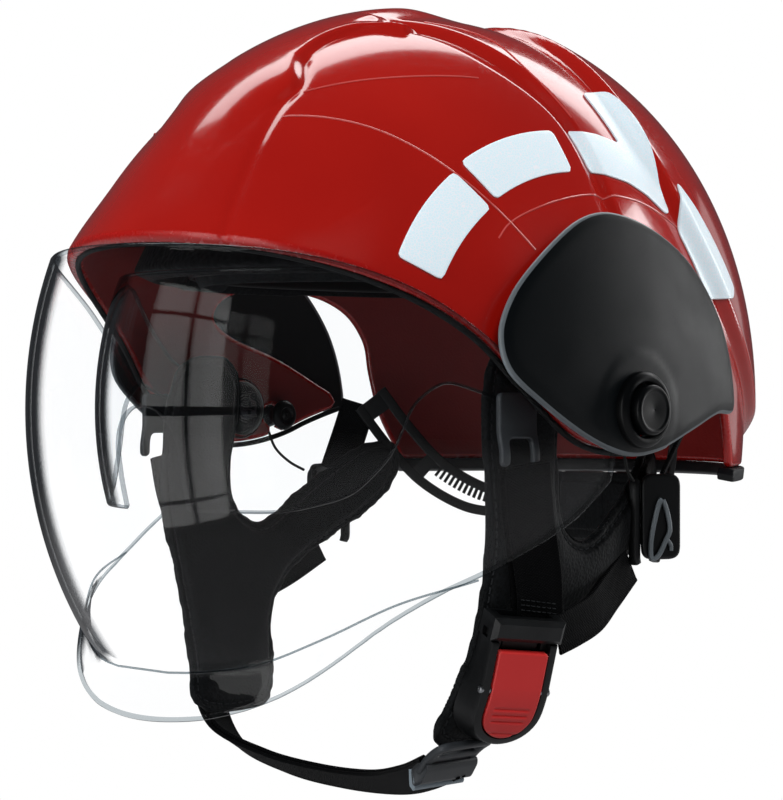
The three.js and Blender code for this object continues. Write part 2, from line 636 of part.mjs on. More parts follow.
function buckleBody() {
  const { width, height, depth } = BUCKLE;
  const clearance = 0.5;
  const body = solid(box([-depth / 2, -width / 2, -height / 2], [depth / 2, width / 2, height / 2]));
  const tongueRoom = TONGUE.blade / 2 + clearance;
  const half = TONGUE.thickness / 2 + clearance;
  const mouth = solid(box([-half, -tongueRoom, height / 2 - TONGUE.reach - 1], [half, tongueRoom, height]));
  const plateWidth = BUTTON_PLATE.width / 2 + clearance;
  const plateHeight = BUTTON_PLATE.height / 2 + clearance;
  const floor = depth / 2 - BUTTON_PLATE.depth - 1.6;
  const well = solid(box([floor, -plateWidth, -plateHeight], [depth, plateWidth, plateHeight]));
  const pinX = depth / 2 - BUTTON_PLATE.depth / 2;
  const pin = solid(new THREE.CylinderGeometry(PIN.radius + 0.3, PIN.radius + 0.3, width + 4, 20)
    .translate(pinX, 0, PIN.z));
  return fromSolid(body.subtract(mouth).subtract(well).subtract(pin));
}
add('buckle_body', buckleBody(), 'black', buckle);

function buckleTongue() {
  const { width, crossbar, blade, thickness, reach } = TONGUE;
  const top = BUCKLE.height / 2;
  const gap = 0.6;
  const bar = solid(box([-2.2, -width / 2, top + gap], [2.2, width / 2, top + gap + crossbar]));
  const slot = solid(box([-4, -width / 2 + 3.5, top + gap + 3], [4, width / 2 - 3.5, top + gap + 6.4]));
  const half = [thickness / 2, blade / 2];
  const tang = solid(box([-half[0], -half[1], top - reach], [half[0], half[1], top + gap + 1]));
  return fromSolid(bar.add(tang).subtract(slot));
}
add('buckle_tongue', buckleTongue(), 'black', buckle);

function buckleButton() {
  const { width, height, depth } = BUTTON_PLATE;
  const front = BUCKLE.depth / 2 + 0.8;
  const plate = solid(box([front - depth, -width / 2, -height / 2], [front, width / 2, height / 2]));
  const pinX = BUCKLE.depth / 2 - depth / 2;
  const bore = solid(new THREE.CylinderGeometry(PIN.radius + 0.3, PIN.radius + 0.3, width + 4, 20)
    .translate(pinX, 0, PIN.z));
  return fromSolid(plate.subtract(bore));
}
add('buckle_button', buckleButton(), 'buttonRed', buckle);

const pinX = BUCKLE.depth / 2 - BUTTON_PLATE.depth / 2;
const pinRod = new THREE.CylinderGeometry(PIN.radius, PIN.radius, BUCKLE.width - 1, 20);
add('buckle_pin', pinRod.translate(pinX, 0, PIN.z), 'steel', buckle);

// The webbing's tail slider under the buckle.
function chinAdjuster() {
  const frame = solid(box([-1.6, -13, -9], [1.6, 13, 9]));
  const windows = [-4.2, 4.2].map((z) => solid(box([-4, -10, z - 2.4], [4, 10, z + 2.4])));
  return fromSolid(frame.subtract(windows[0]).subtract(windows[1]))
    .rotateY(THREE.MathUtils.degToRad(50))
    .translate(66.5, -40, -123);
}
add('chin_strap_adjuster', chinAdjuster(), 'grey');

export default helmet;
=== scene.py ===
"""Firefighter helmet, the visual model: shells, shields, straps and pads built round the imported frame.

Lengths are in millimetres until a mesh is made, and the frame's metres after that.
+X is the wearer's left, -Y the front and +Z up, with the origin at the centre of the head.
"""

import json
from math import cos, pi, radians, sin

import bmesh
import bpy
import numpy as np
from mathutils import Matrix, Vector
from mathutils.bvhtree import BVHTree

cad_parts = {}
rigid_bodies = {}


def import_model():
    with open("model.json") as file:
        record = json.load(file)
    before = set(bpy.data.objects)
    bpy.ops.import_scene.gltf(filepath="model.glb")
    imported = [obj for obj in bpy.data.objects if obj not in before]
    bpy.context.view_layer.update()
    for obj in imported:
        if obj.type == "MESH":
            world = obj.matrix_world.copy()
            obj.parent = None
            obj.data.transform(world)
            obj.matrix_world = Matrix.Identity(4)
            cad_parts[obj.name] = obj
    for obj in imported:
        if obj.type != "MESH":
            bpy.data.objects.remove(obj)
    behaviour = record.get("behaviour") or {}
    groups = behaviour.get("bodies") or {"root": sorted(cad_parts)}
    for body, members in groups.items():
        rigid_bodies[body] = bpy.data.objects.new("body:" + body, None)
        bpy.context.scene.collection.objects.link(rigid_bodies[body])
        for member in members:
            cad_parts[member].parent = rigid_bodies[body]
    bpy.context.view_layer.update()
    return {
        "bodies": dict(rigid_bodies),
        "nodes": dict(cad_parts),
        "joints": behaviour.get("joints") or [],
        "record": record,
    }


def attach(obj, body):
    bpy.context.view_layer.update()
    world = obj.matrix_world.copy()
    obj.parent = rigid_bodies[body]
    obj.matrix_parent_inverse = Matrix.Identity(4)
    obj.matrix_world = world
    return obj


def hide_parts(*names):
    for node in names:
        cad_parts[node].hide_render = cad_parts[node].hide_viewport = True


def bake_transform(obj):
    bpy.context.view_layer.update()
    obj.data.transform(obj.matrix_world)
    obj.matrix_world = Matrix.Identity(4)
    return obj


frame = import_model()

MM = 0.001
SIDES = {"left": 1, "right": -1}

# ---------------------------------------------------------------- driving sizes, as in the frame

SHELL = {"half_width": 112, "front": 154, "rear": 160, "height": 152.2, "front_power": 1.8, "rear_power": 2.2}
SHELL_WALL = 3.6
REAR_RIM_Z = -23
FAR = 220
LOWER_EDGE = [(-166, 65), (-118, 55), (-86, 42), (-62, 26), (-44, 7), (-22, -10), (4, -14.5), (28, -11),
              (46, -4), (60, 1)]
EAR_NOTCH = [(56, 7), (30, 21), (2, 31), (-9, 40), (2, 49), (36, 50), (58, 43), (70, 30), (74, 15),
             (79, -3), (88, REAR_RIM_Z)]

# ---------------------------------------------------------------- curves and outlines


def smooth_step(low, high, value):
    t = np.clip((value - low) / (high - low), 0, 1)
    return t * t * (3 - 2 * t)


def bell(value, width):
    """1 at zero, falling away on both sides over about the width."""
    return np.exp(-((value / width) ** 2))


def spline(points, steps, closed=False, power=0.5):
    """Points along a Catmull-Rom curve through the given ones; power 0.5 is centripetal, 0 is uniform."""
    p = np.asarray(points, float)
    count = len(p)
    out = []
    spans = count if closed else count - 1
    for i in range(spans):
        p1, p2 = p[i], p[(i + 1) % count]
        p0 = p[i - 1] if closed or i else 2 * p1 - p2
        p3 = p[(i + 2) % count] if closed or i + 2 < count else 2 * p2 - p1
        knots = [0.0]
        for a, b in ((p0, p1), (p1, p2), (p2, p3)):
            knots.append(knots[-1] + max(np.linalg.norm(b - a), 1e-6) ** power)
        t0, t1, t2, t3 = knots
        for t in np.linspace(t1, t2, steps, endpoint=False):
            a1 = (t1 - t) / (t1 - t0) * p0 + (t - t0) / (t1 - t0) * p1
            a2 = (t2 - t) / (t2 - t1) * p1 + (t - t1) / (t2 - t1) * p2
            a3 = (t3 - t) / (t3 - t2) * p2 + (t - t2) / (t3 - t2) * p3
            b1 = (t2 - t) / (t2 - t0) * a1 + (t - t0) / (t2 - t0) * a2
            b2 = (t3 - t) / (t3 - t1) * a2 + (t - t1) / (t3 - t1) * a3
            out.append((t2 - t) / (t2 - t1) * b1 + (t - t1) / (t2 - t1) * b2)
    if not closed:
        out.append(p[-1])
    return np.array(out)


def evenly(points, count):
    """The same path as count points the same distance apart."""
    p = np.asarray(points, float)
    along = np.concatenate([[0], np.cumsum(np.linalg.norm(np.diff(p, axis=0), axis=1))])
    at = np.linspace(0, along[-1], count)
    return np.stack([np.interp(at, along, p[:, k]) for k in range(p.shape[1])], 1)


def rounded(points, radius, steps=5):
    """A closed outline of straight sides with each corner rounded off to about the radius."""
    p = np.asarray(points, float)
    out = []
    for i in range(len(p)):
        back, here, ahead = p[i - 1], p[i], p[(i + 1) % len(p)]
        to_back, to_ahead = back - here, ahead - here
        cut_a = min(radius, np.linalg.norm(to_back) * 0.45)
        cut_b = min(radius, np.linalg.norm(to_ahead) * 0.45)
        a = here + to_back / np.linalg.norm(to_back) * cut_a
        b = here + to_ahead / np.linalg.norm(to_ahead) * cut_b
        for t in np.linspace(0, 1, steps):
            out.append((1 - t) ** 2 * a + 2 * t * (1 - t) * here + t * t * b)
    return np.array(out)


def distance_to(points, path, closed=False):
    """The distance from each point to a path."""
    q = np.asarray(points, float)
    a = np.asarray(path, float)
    b = np.roll(a, -1, axis=0) if closed else a[1:]
    a = a if closed else a[:-1]
    step = b - a
    size = np.maximum((step**2).sum(1), 1e-9)
    best = np.full(len(q), 1e9)
    for k in range(len(a)):
        t = np.clip(((q - a[k]) @ step[k]) / size[k], 0, 1)
        best = np.minimum(best, np.linalg.norm(q - a[k] - t[:, None] * step[k], axis=1))
    return best


def circle(radius, sides):
    return [(radius * cos(t), radius * sin(t)) for t in np.linspace(0, 2 * pi, sides, endpoint=False)]


def inside(outline, axes=(1, 2)):
    """A field that is positive inside a closed outline and its distance in mm, seen along the third axis."""
    outline = np.asarray(outline, float)

    def field(points):
        flat = points[:, axes]
        distance = distance_to(flat, outline, closed=True)
        a, b = outline, np.roll(outline, -1, axis=0)
        odd = np.zeros(len(flat), bool)
        for (ax, ay), (bx, by) in zip(a, b):
            spans = (ay > flat[:, 1]) != (by > flat[:, 1])
            if abs(by - ay) > 1e-9:
                odd ^= spans & (flat[:, 0] < (bx - ax) * (flat[:, 1] - ay) / (by - ay) + ax)
        return np.where(odd, distance, -distance)

    return field


def minus(field):
    return lambda points: -field(points)


def round_x(radius, y=0, z=0):
    """Positive inside a circle about an axis along X."""
    return lambda points: radius - np.hypot(points[:, 1] - y, points[:, 2] - z)


# ---------------------------------------------------------------- trimmed sheets


def fineness(full):
    """How finely a surface is divided: the count given, unchanged."""
    return full


def grid_quads(rows, columns):
    """The quads of a grid whose points are numbered along its rows."""
    corner = (np.arange(rows)[:, None] * (columns + 1) + np.arange(columns)[None, :]).ravel()
    return np.stack([corner, corner + columns + 1, corner + columns + 2, corner + 1], 1)


def sphere_grid(count, reach=-1.0):
    """Unit directions and quads of a sphere made from a cube, down to the height reach."""
    steps = np.tan(np.linspace(-pi / 4, pi / 4, count + 1))
    u, v = [g.ravel() for g in np.meshgrid(steps, steps, indexing="ij")]
    one = np.ones_like(u)
    faces = [(u, v, one), (v, u, -one), (one, u, v), (-one, v, u), (v, one, u), (u, -one, v)]
    quad = grid_quads(count, count)
    directions, quads = [], []
    for k, face in enumerate(faces):
        directions.append(np.stack(face, 1))
        quads.append(quad + k * len(u))
    d = np.concatenate(directions)
    d /= np.linalg.norm(d, axis=1)[:, None]
    q = np.concatenate(quads)
    _, first, back = np.unique(np.round(d, 6), axis=0, return_index=True, return_inverse=True)
    d, q = d[first], back.ravel()[q]
    middle = d[q].mean(1)
    normal = np.cross(d[q[:, 1]] - d[q[:, 0]], d[q[:, 2]] - d[q[:, 0]])
    flip = (normal * middle).sum(1) < 0
    q[flip] = q[flip][:, ::-1]
    q = q[middle[:, 2] > reach]
    used, back = np.unique(q, return_inverse=True)
    return d[used], back.reshape(q.shape)


def plane_grid(low, high, spacing):
    """A flat grid of quads over a box in the first two coordinates, for sheets placed by a function."""
    counts = [max(int(round((b - a) / spacing)), 1) for a, b in zip(low, high)]
    s = np.linspace(low[0], high[0], counts[0] + 1)
    t = np.linspace(low[1], high[1], counts[1] + 1)
    u, v = [g.ravel() for g in np.meshgrid(s, t, indexing="ij")]
    return np.stack([u, v, np.zeros_like(u)], 1), grid_quads(*counts)


BISECTIONS = 5
SNAP_SHARE = 0.28


def trim(grid, place, field, unit=True, window=None):
    """Cuts a grid where field(place(point)) is zero and keeps the positive side, as points and faces.

    A window is the lowest and highest corner of a box that holds all that is kept."""
    d, quads = grid[0].copy(), grid[1]
    if window is not None:
        spot = place(d)
        close = ((spot > window[0]) & (spot < window[1])).all(1)
        used, back = np.unique(quads[close[quads].any(1)], return_inverse=True)
        d, quads = d[used], back.reshape(-1, 4)
    f = field(place(d))
    keep = (f[quads] > 0).any(1)
    quads = quads[keep]

    def between(a, b, fa, fb):
        low, high = a.copy(), b.copy()
        flow, fhigh = fa.copy(), fb.copy()
        for _ in range(BISECTIONS):
            t = flow / (flow - fhigh)
            mid = low + (high - low) * t[:, None]
            if unit:
                mid /= np.linalg.norm(mid, axis=1)[:, None]
            fm = field(place(mid))
            up = (fm > 0) == (flow > 0)
            low[up], flow[up] = mid[up], fm[up]
            high[~up], fhigh[~up] = mid[~up], fm[~up]
            same = np.abs(flow - fhigh) < 1e-12
            fhigh[same] = flow[same] - 1e-9
        return mid

    def crossed(edges):
        start, end = edges.T
        return between(d[start], d[end], f[start], f[end])

    edges = np.unique(np.sort(np.concatenate([quads[:, [i, (i + 1) % 4]] for i in range(4)]), axis=1), axis=0)
    crossing = edges[(f[edges[:, 0]] > 0) != (f[edges[:, 1]] > 0)]
    at = crossed(crossing)
    whole = np.linalg.norm(d[crossing[:, 0]] - d[crossing[:, 1]], axis=1)
    part = np.linalg.norm(at - d[crossing[:, 0]], axis=1) / whole
    for near, end in ((part < SNAP_SHARE, 0), (part > 1 - SNAP_SHARE, 1)):
        for edge, spot in zip(crossing[near], at[near]):
            if f[edge[end]] != 0:
                d[edge[end]] = spot
                f[edge[end]] = 0
    crossing = edges[(f[edges[:, 0]] * f[edges[:, 1]]) < 0]
    at = crossed(crossing) if len(crossing) else np.zeros((0, 3))
    index = {(int(a), int(b)): len(d) + k for k, (a, b) in enumerate(crossing)}
    points = np.concatenate([d, at])
    signs = f[quads]
    faces = [tuple(int(i) for i in q) for q in quads[(signs >= 0).all(1)]]
    for quad in quads[(signs < 0).any(1) & (signs > 0).any(1)]:
        ring = []
        for i in range(4):
            a, b = int(quad[i]), int(quad[(i + 1) % 4])
            if f[a] >= 0:
                ring.append(a)
            if f[a] * f[b] < 0:
                ring.append(index[(min(a, b), max(a, b))])
        if len(ring) > 2:
            faces.append(tuple(ring))
    used = np.unique(np.concatenate([np.array(face) for face in faces]))
    remap = np.full(len(points), -1)
    remap[used] = np.arange(len(used))
    return points[used], [tuple(int(remap[i]) for i in face) for face in faces]


def flat_trim(grid, field):
    """Cuts a flat grid where the field is zero and keeps the positive side."""
    return trim(grid, lambda spots: spots, field, unit=False)


def outer_edges(faces):
    """The edges that only one face uses, as (start, end) in that face's order."""
    seen = {}
    for face in faces:
        for i, a in enumerate(face):
            b = face[(i + 1) % len(face)]
            if (b, a) in seen:
                del seen[(b, a)]
            else:
                seen[(a, b)] = True
    return list(seen)


def thick(trimmed, top, bottom, radius=FAR, arc=3):
    """A closed wall between two placements of a trimmed sheet: points, faces, regions.

    Its edge is rounded to the radius, or to a half circle on a thin wall, and stands that far outside
    the sheet. Region 0 is the top, 1 the bottom and 2 the edge."""
    d, faces = trimmed
    upper, lower = top(d), bottom(d)
    count = len(d)
    points = [upper, lower]
    out = list(faces)
    region = [0] * len(faces)
    out += [tuple(count + i for i in reversed(face)) for face in faces]
    region += [1] * len(faces)
    edges = outer_edges(faces)
    after = {a: b for a, b in edges}
    before = {b: a for a, b in edges}
    rim = sorted(set(after) | set(before))
    slot = {v: k for k, v in enumerate(rim)}
    a = np.array([before.get(v, v) for v in rim])
    b = np.array([after.get(v, v) for v in rim])
    here = np.array(rim)
    wall = upper[here] - lower[here]
    size = np.maximum(np.linalg.norm(wall, axis=1), 1e-6)
    away = np.cross(upper[b] - upper[a], wall)
    away /= np.maximum(np.linalg.norm(away, axis=1), 1e-9)[:, None]
    bend = np.minimum(radius, size / 2)
    turns = [radians(90) * k / arc for k in range(1, arc + 1)]
    steps = [(1 - cos(t), sin(t), 0) for t in turns]
    steps += [(1 - cos(t), sin(t), 1) for t in reversed(turns)]
    if radius >= FAR:
        steps.pop(arc)
    ring = [here]
    for down, sideways, from_below in steps:
        share = bend * down / size
        share = 1 - share if from_below else share
        points.append(upper[here] - wall * share[:, None] + away * (bend * sideways)[:, None])
        ring.append(2 * count + (len(ring) - 1) * len(rim) + np.arange(len(rim)))
    ring.append(here + count)
    for start, end in edges:
        i, j = slot[start], slot[end]
        for k in range(len(ring) - 1):
            out.append((int(ring[k][j]), int(ring[k][i]), int(ring[k + 1][i]), int(ring[k + 1][j])))
            region.append(2)
    return np.concatenate(points), out, region


def lathe(profile, sides=48, corner=0.4):
    """A turned solid about the X axis from a closed profile of (x, radius) corners, each slightly rounded."""
    outline = rounded(profile, corner, 4)
    on_axis = outline[:, 1] < 1e-6
    points, rings = [], []
    for (x, r), axis in zip(outline, on_axis):
        rings.append((len(points), 1 if axis else sides))
        if axis:
            points.append((x, 0, 0))
        else:
            points += [(x, r * cos(2 * pi * k / sides), r * sin(2 * pi * k / sides)) for k in range(sides)]
    faces = []
    for k in range(len(rings)):
        (a, na), (b, nb) = rings[k], rings[(k + 1) % len(rings)]
        if na == 1 and nb == 1:
            continue
        for i in range(sides):
            j = (i + 1) % sides
            corners = [a + i % na, a + j % na, b + j % nb, b + i % nb]
            face = tuple(dict.fromkeys(corners))
            if len(face) > 2:
                faces.append(face)
    return np.array(points), faces


def swept(path, section, across):
    """A section of (across, out) points carried along a path, with its UV map's corners in mm.

    across is the direction of the section's first axis, one for the whole path or one for each point."""
    path = np.asarray(path, float)
    count = len(path)
    tangent = np.gradient(path, axis=0)
    tangent /= np.linalg.norm(tangent, axis=1)[:, None]
    across = np.broadcast_to(np.asarray(across, float), path.shape)
    out = np.cross(tangent, across)
    out /= np.linalg.norm(out, axis=1)[:, None]
    wide = np.cross(out, tangent)
    section = np.asarray(section, float)
    n = len(section)
    points = (path[:, None] + wide[:, None] * section[None, :, :1] + out[:, None] * section[None, :, 1:2])
    along = np.concatenate([[0], np.cumsum(np.linalg.norm(np.diff(path, axis=0), axis=1))])
    faces, uvs = [], []
    for i in range(count - 1):
        for k in range(n):
            m = (k + 1) % n
            faces.append((i * n + k, i * n + m, (i + 1) * n + m, (i + 1) * n + k))
            uvs.append([(section[k][0], along[i]), (section[m][0], along[i]),
                        (section[m][0], along[i + 1]), (section[k][0], along[i + 1])])
    faces.append(tuple(reversed(range(n))))
    uvs.append([(section[k][0], along[0]) for k in reversed(range(n))])
    faces.append(tuple(range((count - 1) * n, count * n)))
    uvs.append([(section[k][0], along[-1]) for k in range(n)])
    return points.reshape(-1, 3), faces, uvs


# ---------------------------------------------------------------- objects


def link(name, points, faces):
    """A plain mesh object from points in mm."""
    mesh = bpy.data.meshes.new(name)
    mesh.from_pydata([tuple(p) for p in points * MM], [], [tuple(f) for f in faces])
    obj = bpy.data.objects.new(name, mesh)
    bpy.context.scene.collection.objects.link(obj)
    return obj


def evaluated(obj):
    """A new mesh with the object's modifiers applied."""
    return bpy.data.meshes.new_from_object(obj.evaluated_get(bpy.context.evaluated_depsgraph_get()))


def corners_of(mesh):
    return np.array([v.co for v in mesh.vertices])


def faces_of(mesh):
    return [tuple(p.vertices) for p in mesh.polygons]


def make(name, points, faces, materials, region=None, body="helmet", angle=38, place=None, side=1,
         uvs=None):
    """A finished mesh object from points in mm: place is a matrix in mm, and side -1 mirrors it after that."""
    points = np.asarray(points, float)
    if place is not None:
        turn = np.array(place)
        points = points @ turn[:3, :3].T + turn[:3, 3]
    if side < 0:
        points = points * (-1, 1, 1)
        faces = [tuple(reversed(f)) for f in faces]
        uvs = None if uvs is None else [list(reversed(corners)) for corners in uvs]
    obj = link(name, points, faces)
    mesh = obj.data
    mesh.update()
    materials = materials if isinstance(materials, (list, tuple)) else [materials]
    for m in materials:
        mesh.materials.append(m)
    if region is not None and len(materials) > 1:
        kinds = [min(r, len(materials) - 1) for r in region]
        mesh.polygons.foreach_set("material_index", kinds[: len(mesh.polygons)])
    if uvs is not None:
        layer = mesh.uv_layers.new(name="cloth")
        layer.data.foreach_set("uv", [value for corners in uvs for pair in corners for value in pair])
    mesh.polygons.foreach_set("use_smooth", [True] * len(mesh.polygons))
    sharpen(obj, angle)
    if body:
        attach(obj, body)
    return obj


def sharpen(obj, angle):
    """Marks the edges that turn by more than the angle, so that they shade sharp."""
    bm = bmesh.new()
    bm.from_mesh(obj.data)
    limit = radians(angle)
    for edge in bm.edges:
        edge.smooth = len(edge.link_faces) == 2 and edge.calc_face_angle(0) < limit
    bm.to_mesh(obj.data)
    bm.free()


def finish_piece(obj, slot, *nodes):
    if nodes:
        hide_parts(*nodes)
    return obj


def both_sides(name, part, looks, slot, node=None, **options):
    """The left piece and its mirror image; {} in a body's name stands for the side."""
    body = options.pop("body", "helmet")
    for side, sign in SIDES.items():
        obj = make(f"{side}_{name}", *part, looks, side=sign, body=body.format(side), **options)
        finish_piece(obj, slot, *([f"{side}_{node}"] if node else []))


# ---------------------------------------------------------------- materials


class Paint:
    """A Principled material under construction, with short calls for its texture nodes."""

    def __init__(self, name, colour, roughness, metallic=0.0, **sockets):
        self.material = bpy.data.materials.new(name)
        self.material.use_nodes = True
        self.tree = self.material.node_tree
        self.shader = self.tree.nodes["Principled BSDF"]
        self.set(self.shader, **{"Base Color": (*colour, 1), "Roughness": roughness, "Metallic": metallic})
        self.set(self.shader, **{key.replace("_", " ").title().replace("Ior", "IOR"): value
                                 for key, value in sockets.items()})
        self.place = self.node("ShaderNodeTexCoord").outputs["Object"]
        self.height = None

    def node(self, kind, **properties):
        made = self.tree.nodes.new(kind)
        for key, value in properties.items():
            setattr(made, key, value)
        return made

    def set(self, node, **values):
        for key, value in values.items():
            socket = node.inputs[key]
            if isinstance(value, bpy.types.NodeSocket):
                self.tree.links.new(value, socket)
            else:
                socket.default_value = value

    def noise(self, per_mm, detail=3.0, roughness=0.55, stretch=None):
        """A fine-grained value from 0 to 1, with about per_mm waves in each mm."""
        made = self.node("ShaderNodeTexNoise")
        self.set(made, Vector=self.stretched(stretch), Scale=per_mm / MM, Detail=detail, Roughness=roughness)
        return made.outputs["Fac"]

    def cells(self, per_mm, feature="F1"):
        made = self.node("ShaderNodeTexVoronoi", feature=feature)
        self.set(made, Vector=self.place, Scale=per_mm / MM)
        return made.outputs["Distance"]

    def stretched(self, stretch):
        if stretch is None:
            return self.place
        made = self.node("ShaderNodeMapping")
        self.set(made, Vector=self.place, Scale=stretch)
        return made.outputs["Vector"]

    def waves(self, per_mm, direction):
        """Even bands from 0 to 1 across a UV map whose unit is a mm."""
        vector = self.node("ShaderNodeTexCoord").outputs["UV"]
        made = self.node("ShaderNodeTexWave", wave_type="BANDS", bands_direction=direction)
        self.set(made, Vector=vector, Scale=per_mm * 2 * pi / 20, Distortion=0.0)
        return made.outputs["Fac"]

    def calc(self, operation, a, b):
        made = self.node("ShaderNodeMath", operation=operation)
        for k, value in enumerate((a, b)):
            if isinstance(value, bpy.types.NodeSocket):
                self.tree.links.new(value, made.inputs[k])
            else:
                made.inputs[k].default_value = value
        return made.outputs[0]

    def levels(self, value, low, high, to_low=0.0, to_high=1.0):
        made = self.node("ShaderNodeMapRange")
        self.set(made, Value=value)
        self.set(made, **{"From Min": low, "From Max": high, "To Min": to_low, "To Max": to_high})
        return made.outputs["Result"]

    def colour(self, factor, low, high):
        """The base colour goes from one colour to another with the factor."""
        made = self.node("ShaderNodeMix", data_type="RGBA")
        made.inputs[6].default_value = (*low, 1)
        made.inputs[7].default_value = (*high, 1)
        self.tree.links.new(factor, made.inputs[0])
        self.tree.links.new(made.outputs[2], self.shader.inputs["Base Color"])

    def rough(self, factor, low, high):
        self.tree.links.new(self.levels(factor, 0, 1, low, high), self.shader.inputs["Roughness"])

    def bump(self, height, depth_mm):
        """Adds a bump of the height given, on top of any that came before it."""
        made = self.node("ShaderNodeBump")
        self.set(made, Height=height, Strength=1.0, Distance=depth_mm * MM)
        if self.height is not None:
            self.tree.links.new(self.height, made.inputs["Normal"])
        self.height = made.outputs["Normal"]
        self.tree.links.new(self.height, self.shader.inputs["Normal"])

    def worn_edges(self):
        """1 on sharp outside edges and 0 elsewhere."""
        pointiness = self.node("ShaderNodeNewGeometry").outputs["Pointiness"]
        return self.levels(pointiness, 0.52, 0.60)


def linear(red, green, blue):
    """A colour given as it looks on a screen, 0 to 255, in the renderer's linear values."""
    shares = [c / 255 for c in (red, green, blue)]
    return tuple(((c + 0.055) / 1.055) ** 2.4 if c > 10 / 255 else c / 12.92 for c in shares)


def lacquer(name, colour, dark, gloss=0.12):
    """Glossy moulded plastic with a lacquer coat, faint orange peel and hazy scuffs."""
    paint = Paint(name, colour, gloss, coat_weight=0.35, coat_roughness=0.05, specular_ior_level=0.42)
    cloudy = paint.noise(0.012, 2)
    paint.colour(paint.levels(cloudy, 0.35, 0.7), colour, dark)
    paint.rough(paint.levels(paint.noise(0.35, 4), 0.45, 0.75), gloss, gloss + 0.07)
    paint.bump(paint.noise(0.25, 1), 0.005)
    return paint.material


def moulded(name, colour, roughness, grain=1.6, depth=0.05, edge=None, level=0.45):
    """Textured black plastic: fine spark-eroded grain, uneven sheen and paler rubbed edges."""
    paint = Paint(name, colour, roughness, specular_ior_level=level)
    grit = paint.noise(grain, 3, 0.6)
    rubbed = paint.worn_edges()
    pale = edge or tuple(min(c * 2.2 + 0.003, 1) for c in colour)
    paint.colour(paint.calc("MULTIPLY", rubbed, paint.levels(paint.noise(0.08, 3), 0.3, 0.7)), colour, pale)
    paint.rough(paint.levels(paint.noise(0.05, 3), 0.3, 0.75), roughness - 0.06, roughness + 0.06)
    paint.bump(grit, depth)
    return paint.material


def clear(name, tint, edge, ior=1.25):
    """Thin clear polycarbonate: what is behind it comes straight through, with a mirror-like skin over it.

    Where the wall turns away from sight its see-through colour is darkened: painted shade standing in for the
    dark edge a bent clear wall shows."""
    paint = Paint(name, (0.0, 0.0, 0.0), 0.02, ior=ior)
    paint.rough(paint.levels(paint.noise(0.03, 3), 0.45, 0.8), 0.004, 0.02)
    through = paint.node("ShaderNodeBsdfTransparent")
    turned = paint.node("ShaderNodeLayerWeight")
    turned.inputs["Blend"].default_value = 0.5
    shade = paint.node("ShaderNodeMix")
    shade.data_type = "RGBA"
    shade.inputs["A"].default_value = (*tint, 1)
    shade.inputs["B"].default_value = (*edge, 1)
    # painted shade: the see-through colour goes dark where the wall turns away from sight
    paint.tree.links.new(paint.levels(turned.outputs["Facing"], 0.72, 0.84), shade.inputs["Factor"])
    paint.tree.links.new(shade.outputs["Result"], through.inputs["Color"])
    both = paint.node("ShaderNodeAddShader")
    paint.tree.links.new(through.outputs[0], both.inputs[0])
    paint.tree.links.new(paint.shader.outputs[0], both.inputs[1])
    paint.tree.links.new(both.outputs[0], paint.tree.nodes["Material Output"].inputs["Surface"])
    return paint.material


def woven(name, colour, pale):
    """Woven webbing: two sets of yarns over and under each other along a UV map in mm."""
    paint = Paint(name, colour, 0.78, sheen_weight=0.03, sheen_roughness=0.4, specular_ior_level=0.08)
    across = paint.waves(0.62, "X")
    along = paint.waves(0.95, "Y")
    yarn = paint.calc("MULTIPLY", across, along)
    weft = paint.calc("MULTIPLY", paint.calc("SUBTRACT", 1.0, across), paint.calc("SUBTRACT", 1.0, along))
    weave = paint.calc("MAXIMUM", yarn, weft)
    fuzz = paint.noise(2.2, 3)
    paint.colour(paint.calc("MULTIPLY", weave, paint.levels(fuzz, 0.2, 0.8)), colour, pale)
    paint.rough(fuzz, 0.68, 0.9)
    paint.bump(weave, 0.22)
    paint.bump(fuzz, 0.06)
    return paint.material


def grained(name, colour, pale, per_mm, depth, roughness):
    """Leather-like cloth: small raised cells with creases between them."""
    paint = Paint(name, colour, roughness, sheen_weight=0.03, sheen_roughness=0.5, specular_ior_level=0.12)
    cell = paint.cells(per_mm)
    fine = paint.noise(per_mm * 3, 3)
    paint.colour(paint.levels(paint.calc("MULTIPLY", cell, fine), 0.05, 0.4), colour, pale)
    paint.rough(paint.levels(fine, 0.3, 0.7), roughness - 0.08, roughness + 0.12)
    paint.bump(cell, depth)
    paint.bump(fine, depth * 0.35)
    return paint.material


def retroreflective(name, colour, pale):
    """Reflective tape: a fine honeycomb of cells under a clear face, with a faint white glow that is painted
    light for the tape's retroreflection.
    """
    # emission_strength gives the tape a faint glow: painted light
    paint = Paint(name, colour, 0.32, coat_weight=0.2, coat_roughness=0.2, sheen_weight=0.3,
                  emission_strength=0.1)
    comb = paint.cells(0.9, feature="DISTANCE_TO_EDGE")
    paint.colour(paint.levels(comb, 0.02, 0.10), pale, colour)
    paint.rough(paint.noise(0.4, 3), 0.26, 0.42)
    paint.bump(comb, 0.02)
    return paint.material


def metal(name, colour, roughness):
    """Satin steel with fine scratches drawn out one way."""
    paint = Paint(name, colour, roughness, metallic=1.0)
    scratches = paint.noise(0.9, 4, stretch=(1, 6, 1))
    paint.rough(scratches, roughness - 0.08, roughness + 0.12)
    paint.colour(paint.levels(scratches, 0.35, 0.7), colour, tuple(c * 0.72 for c in colour))
    paint.bump(scratches, 0.015)
    return paint.material


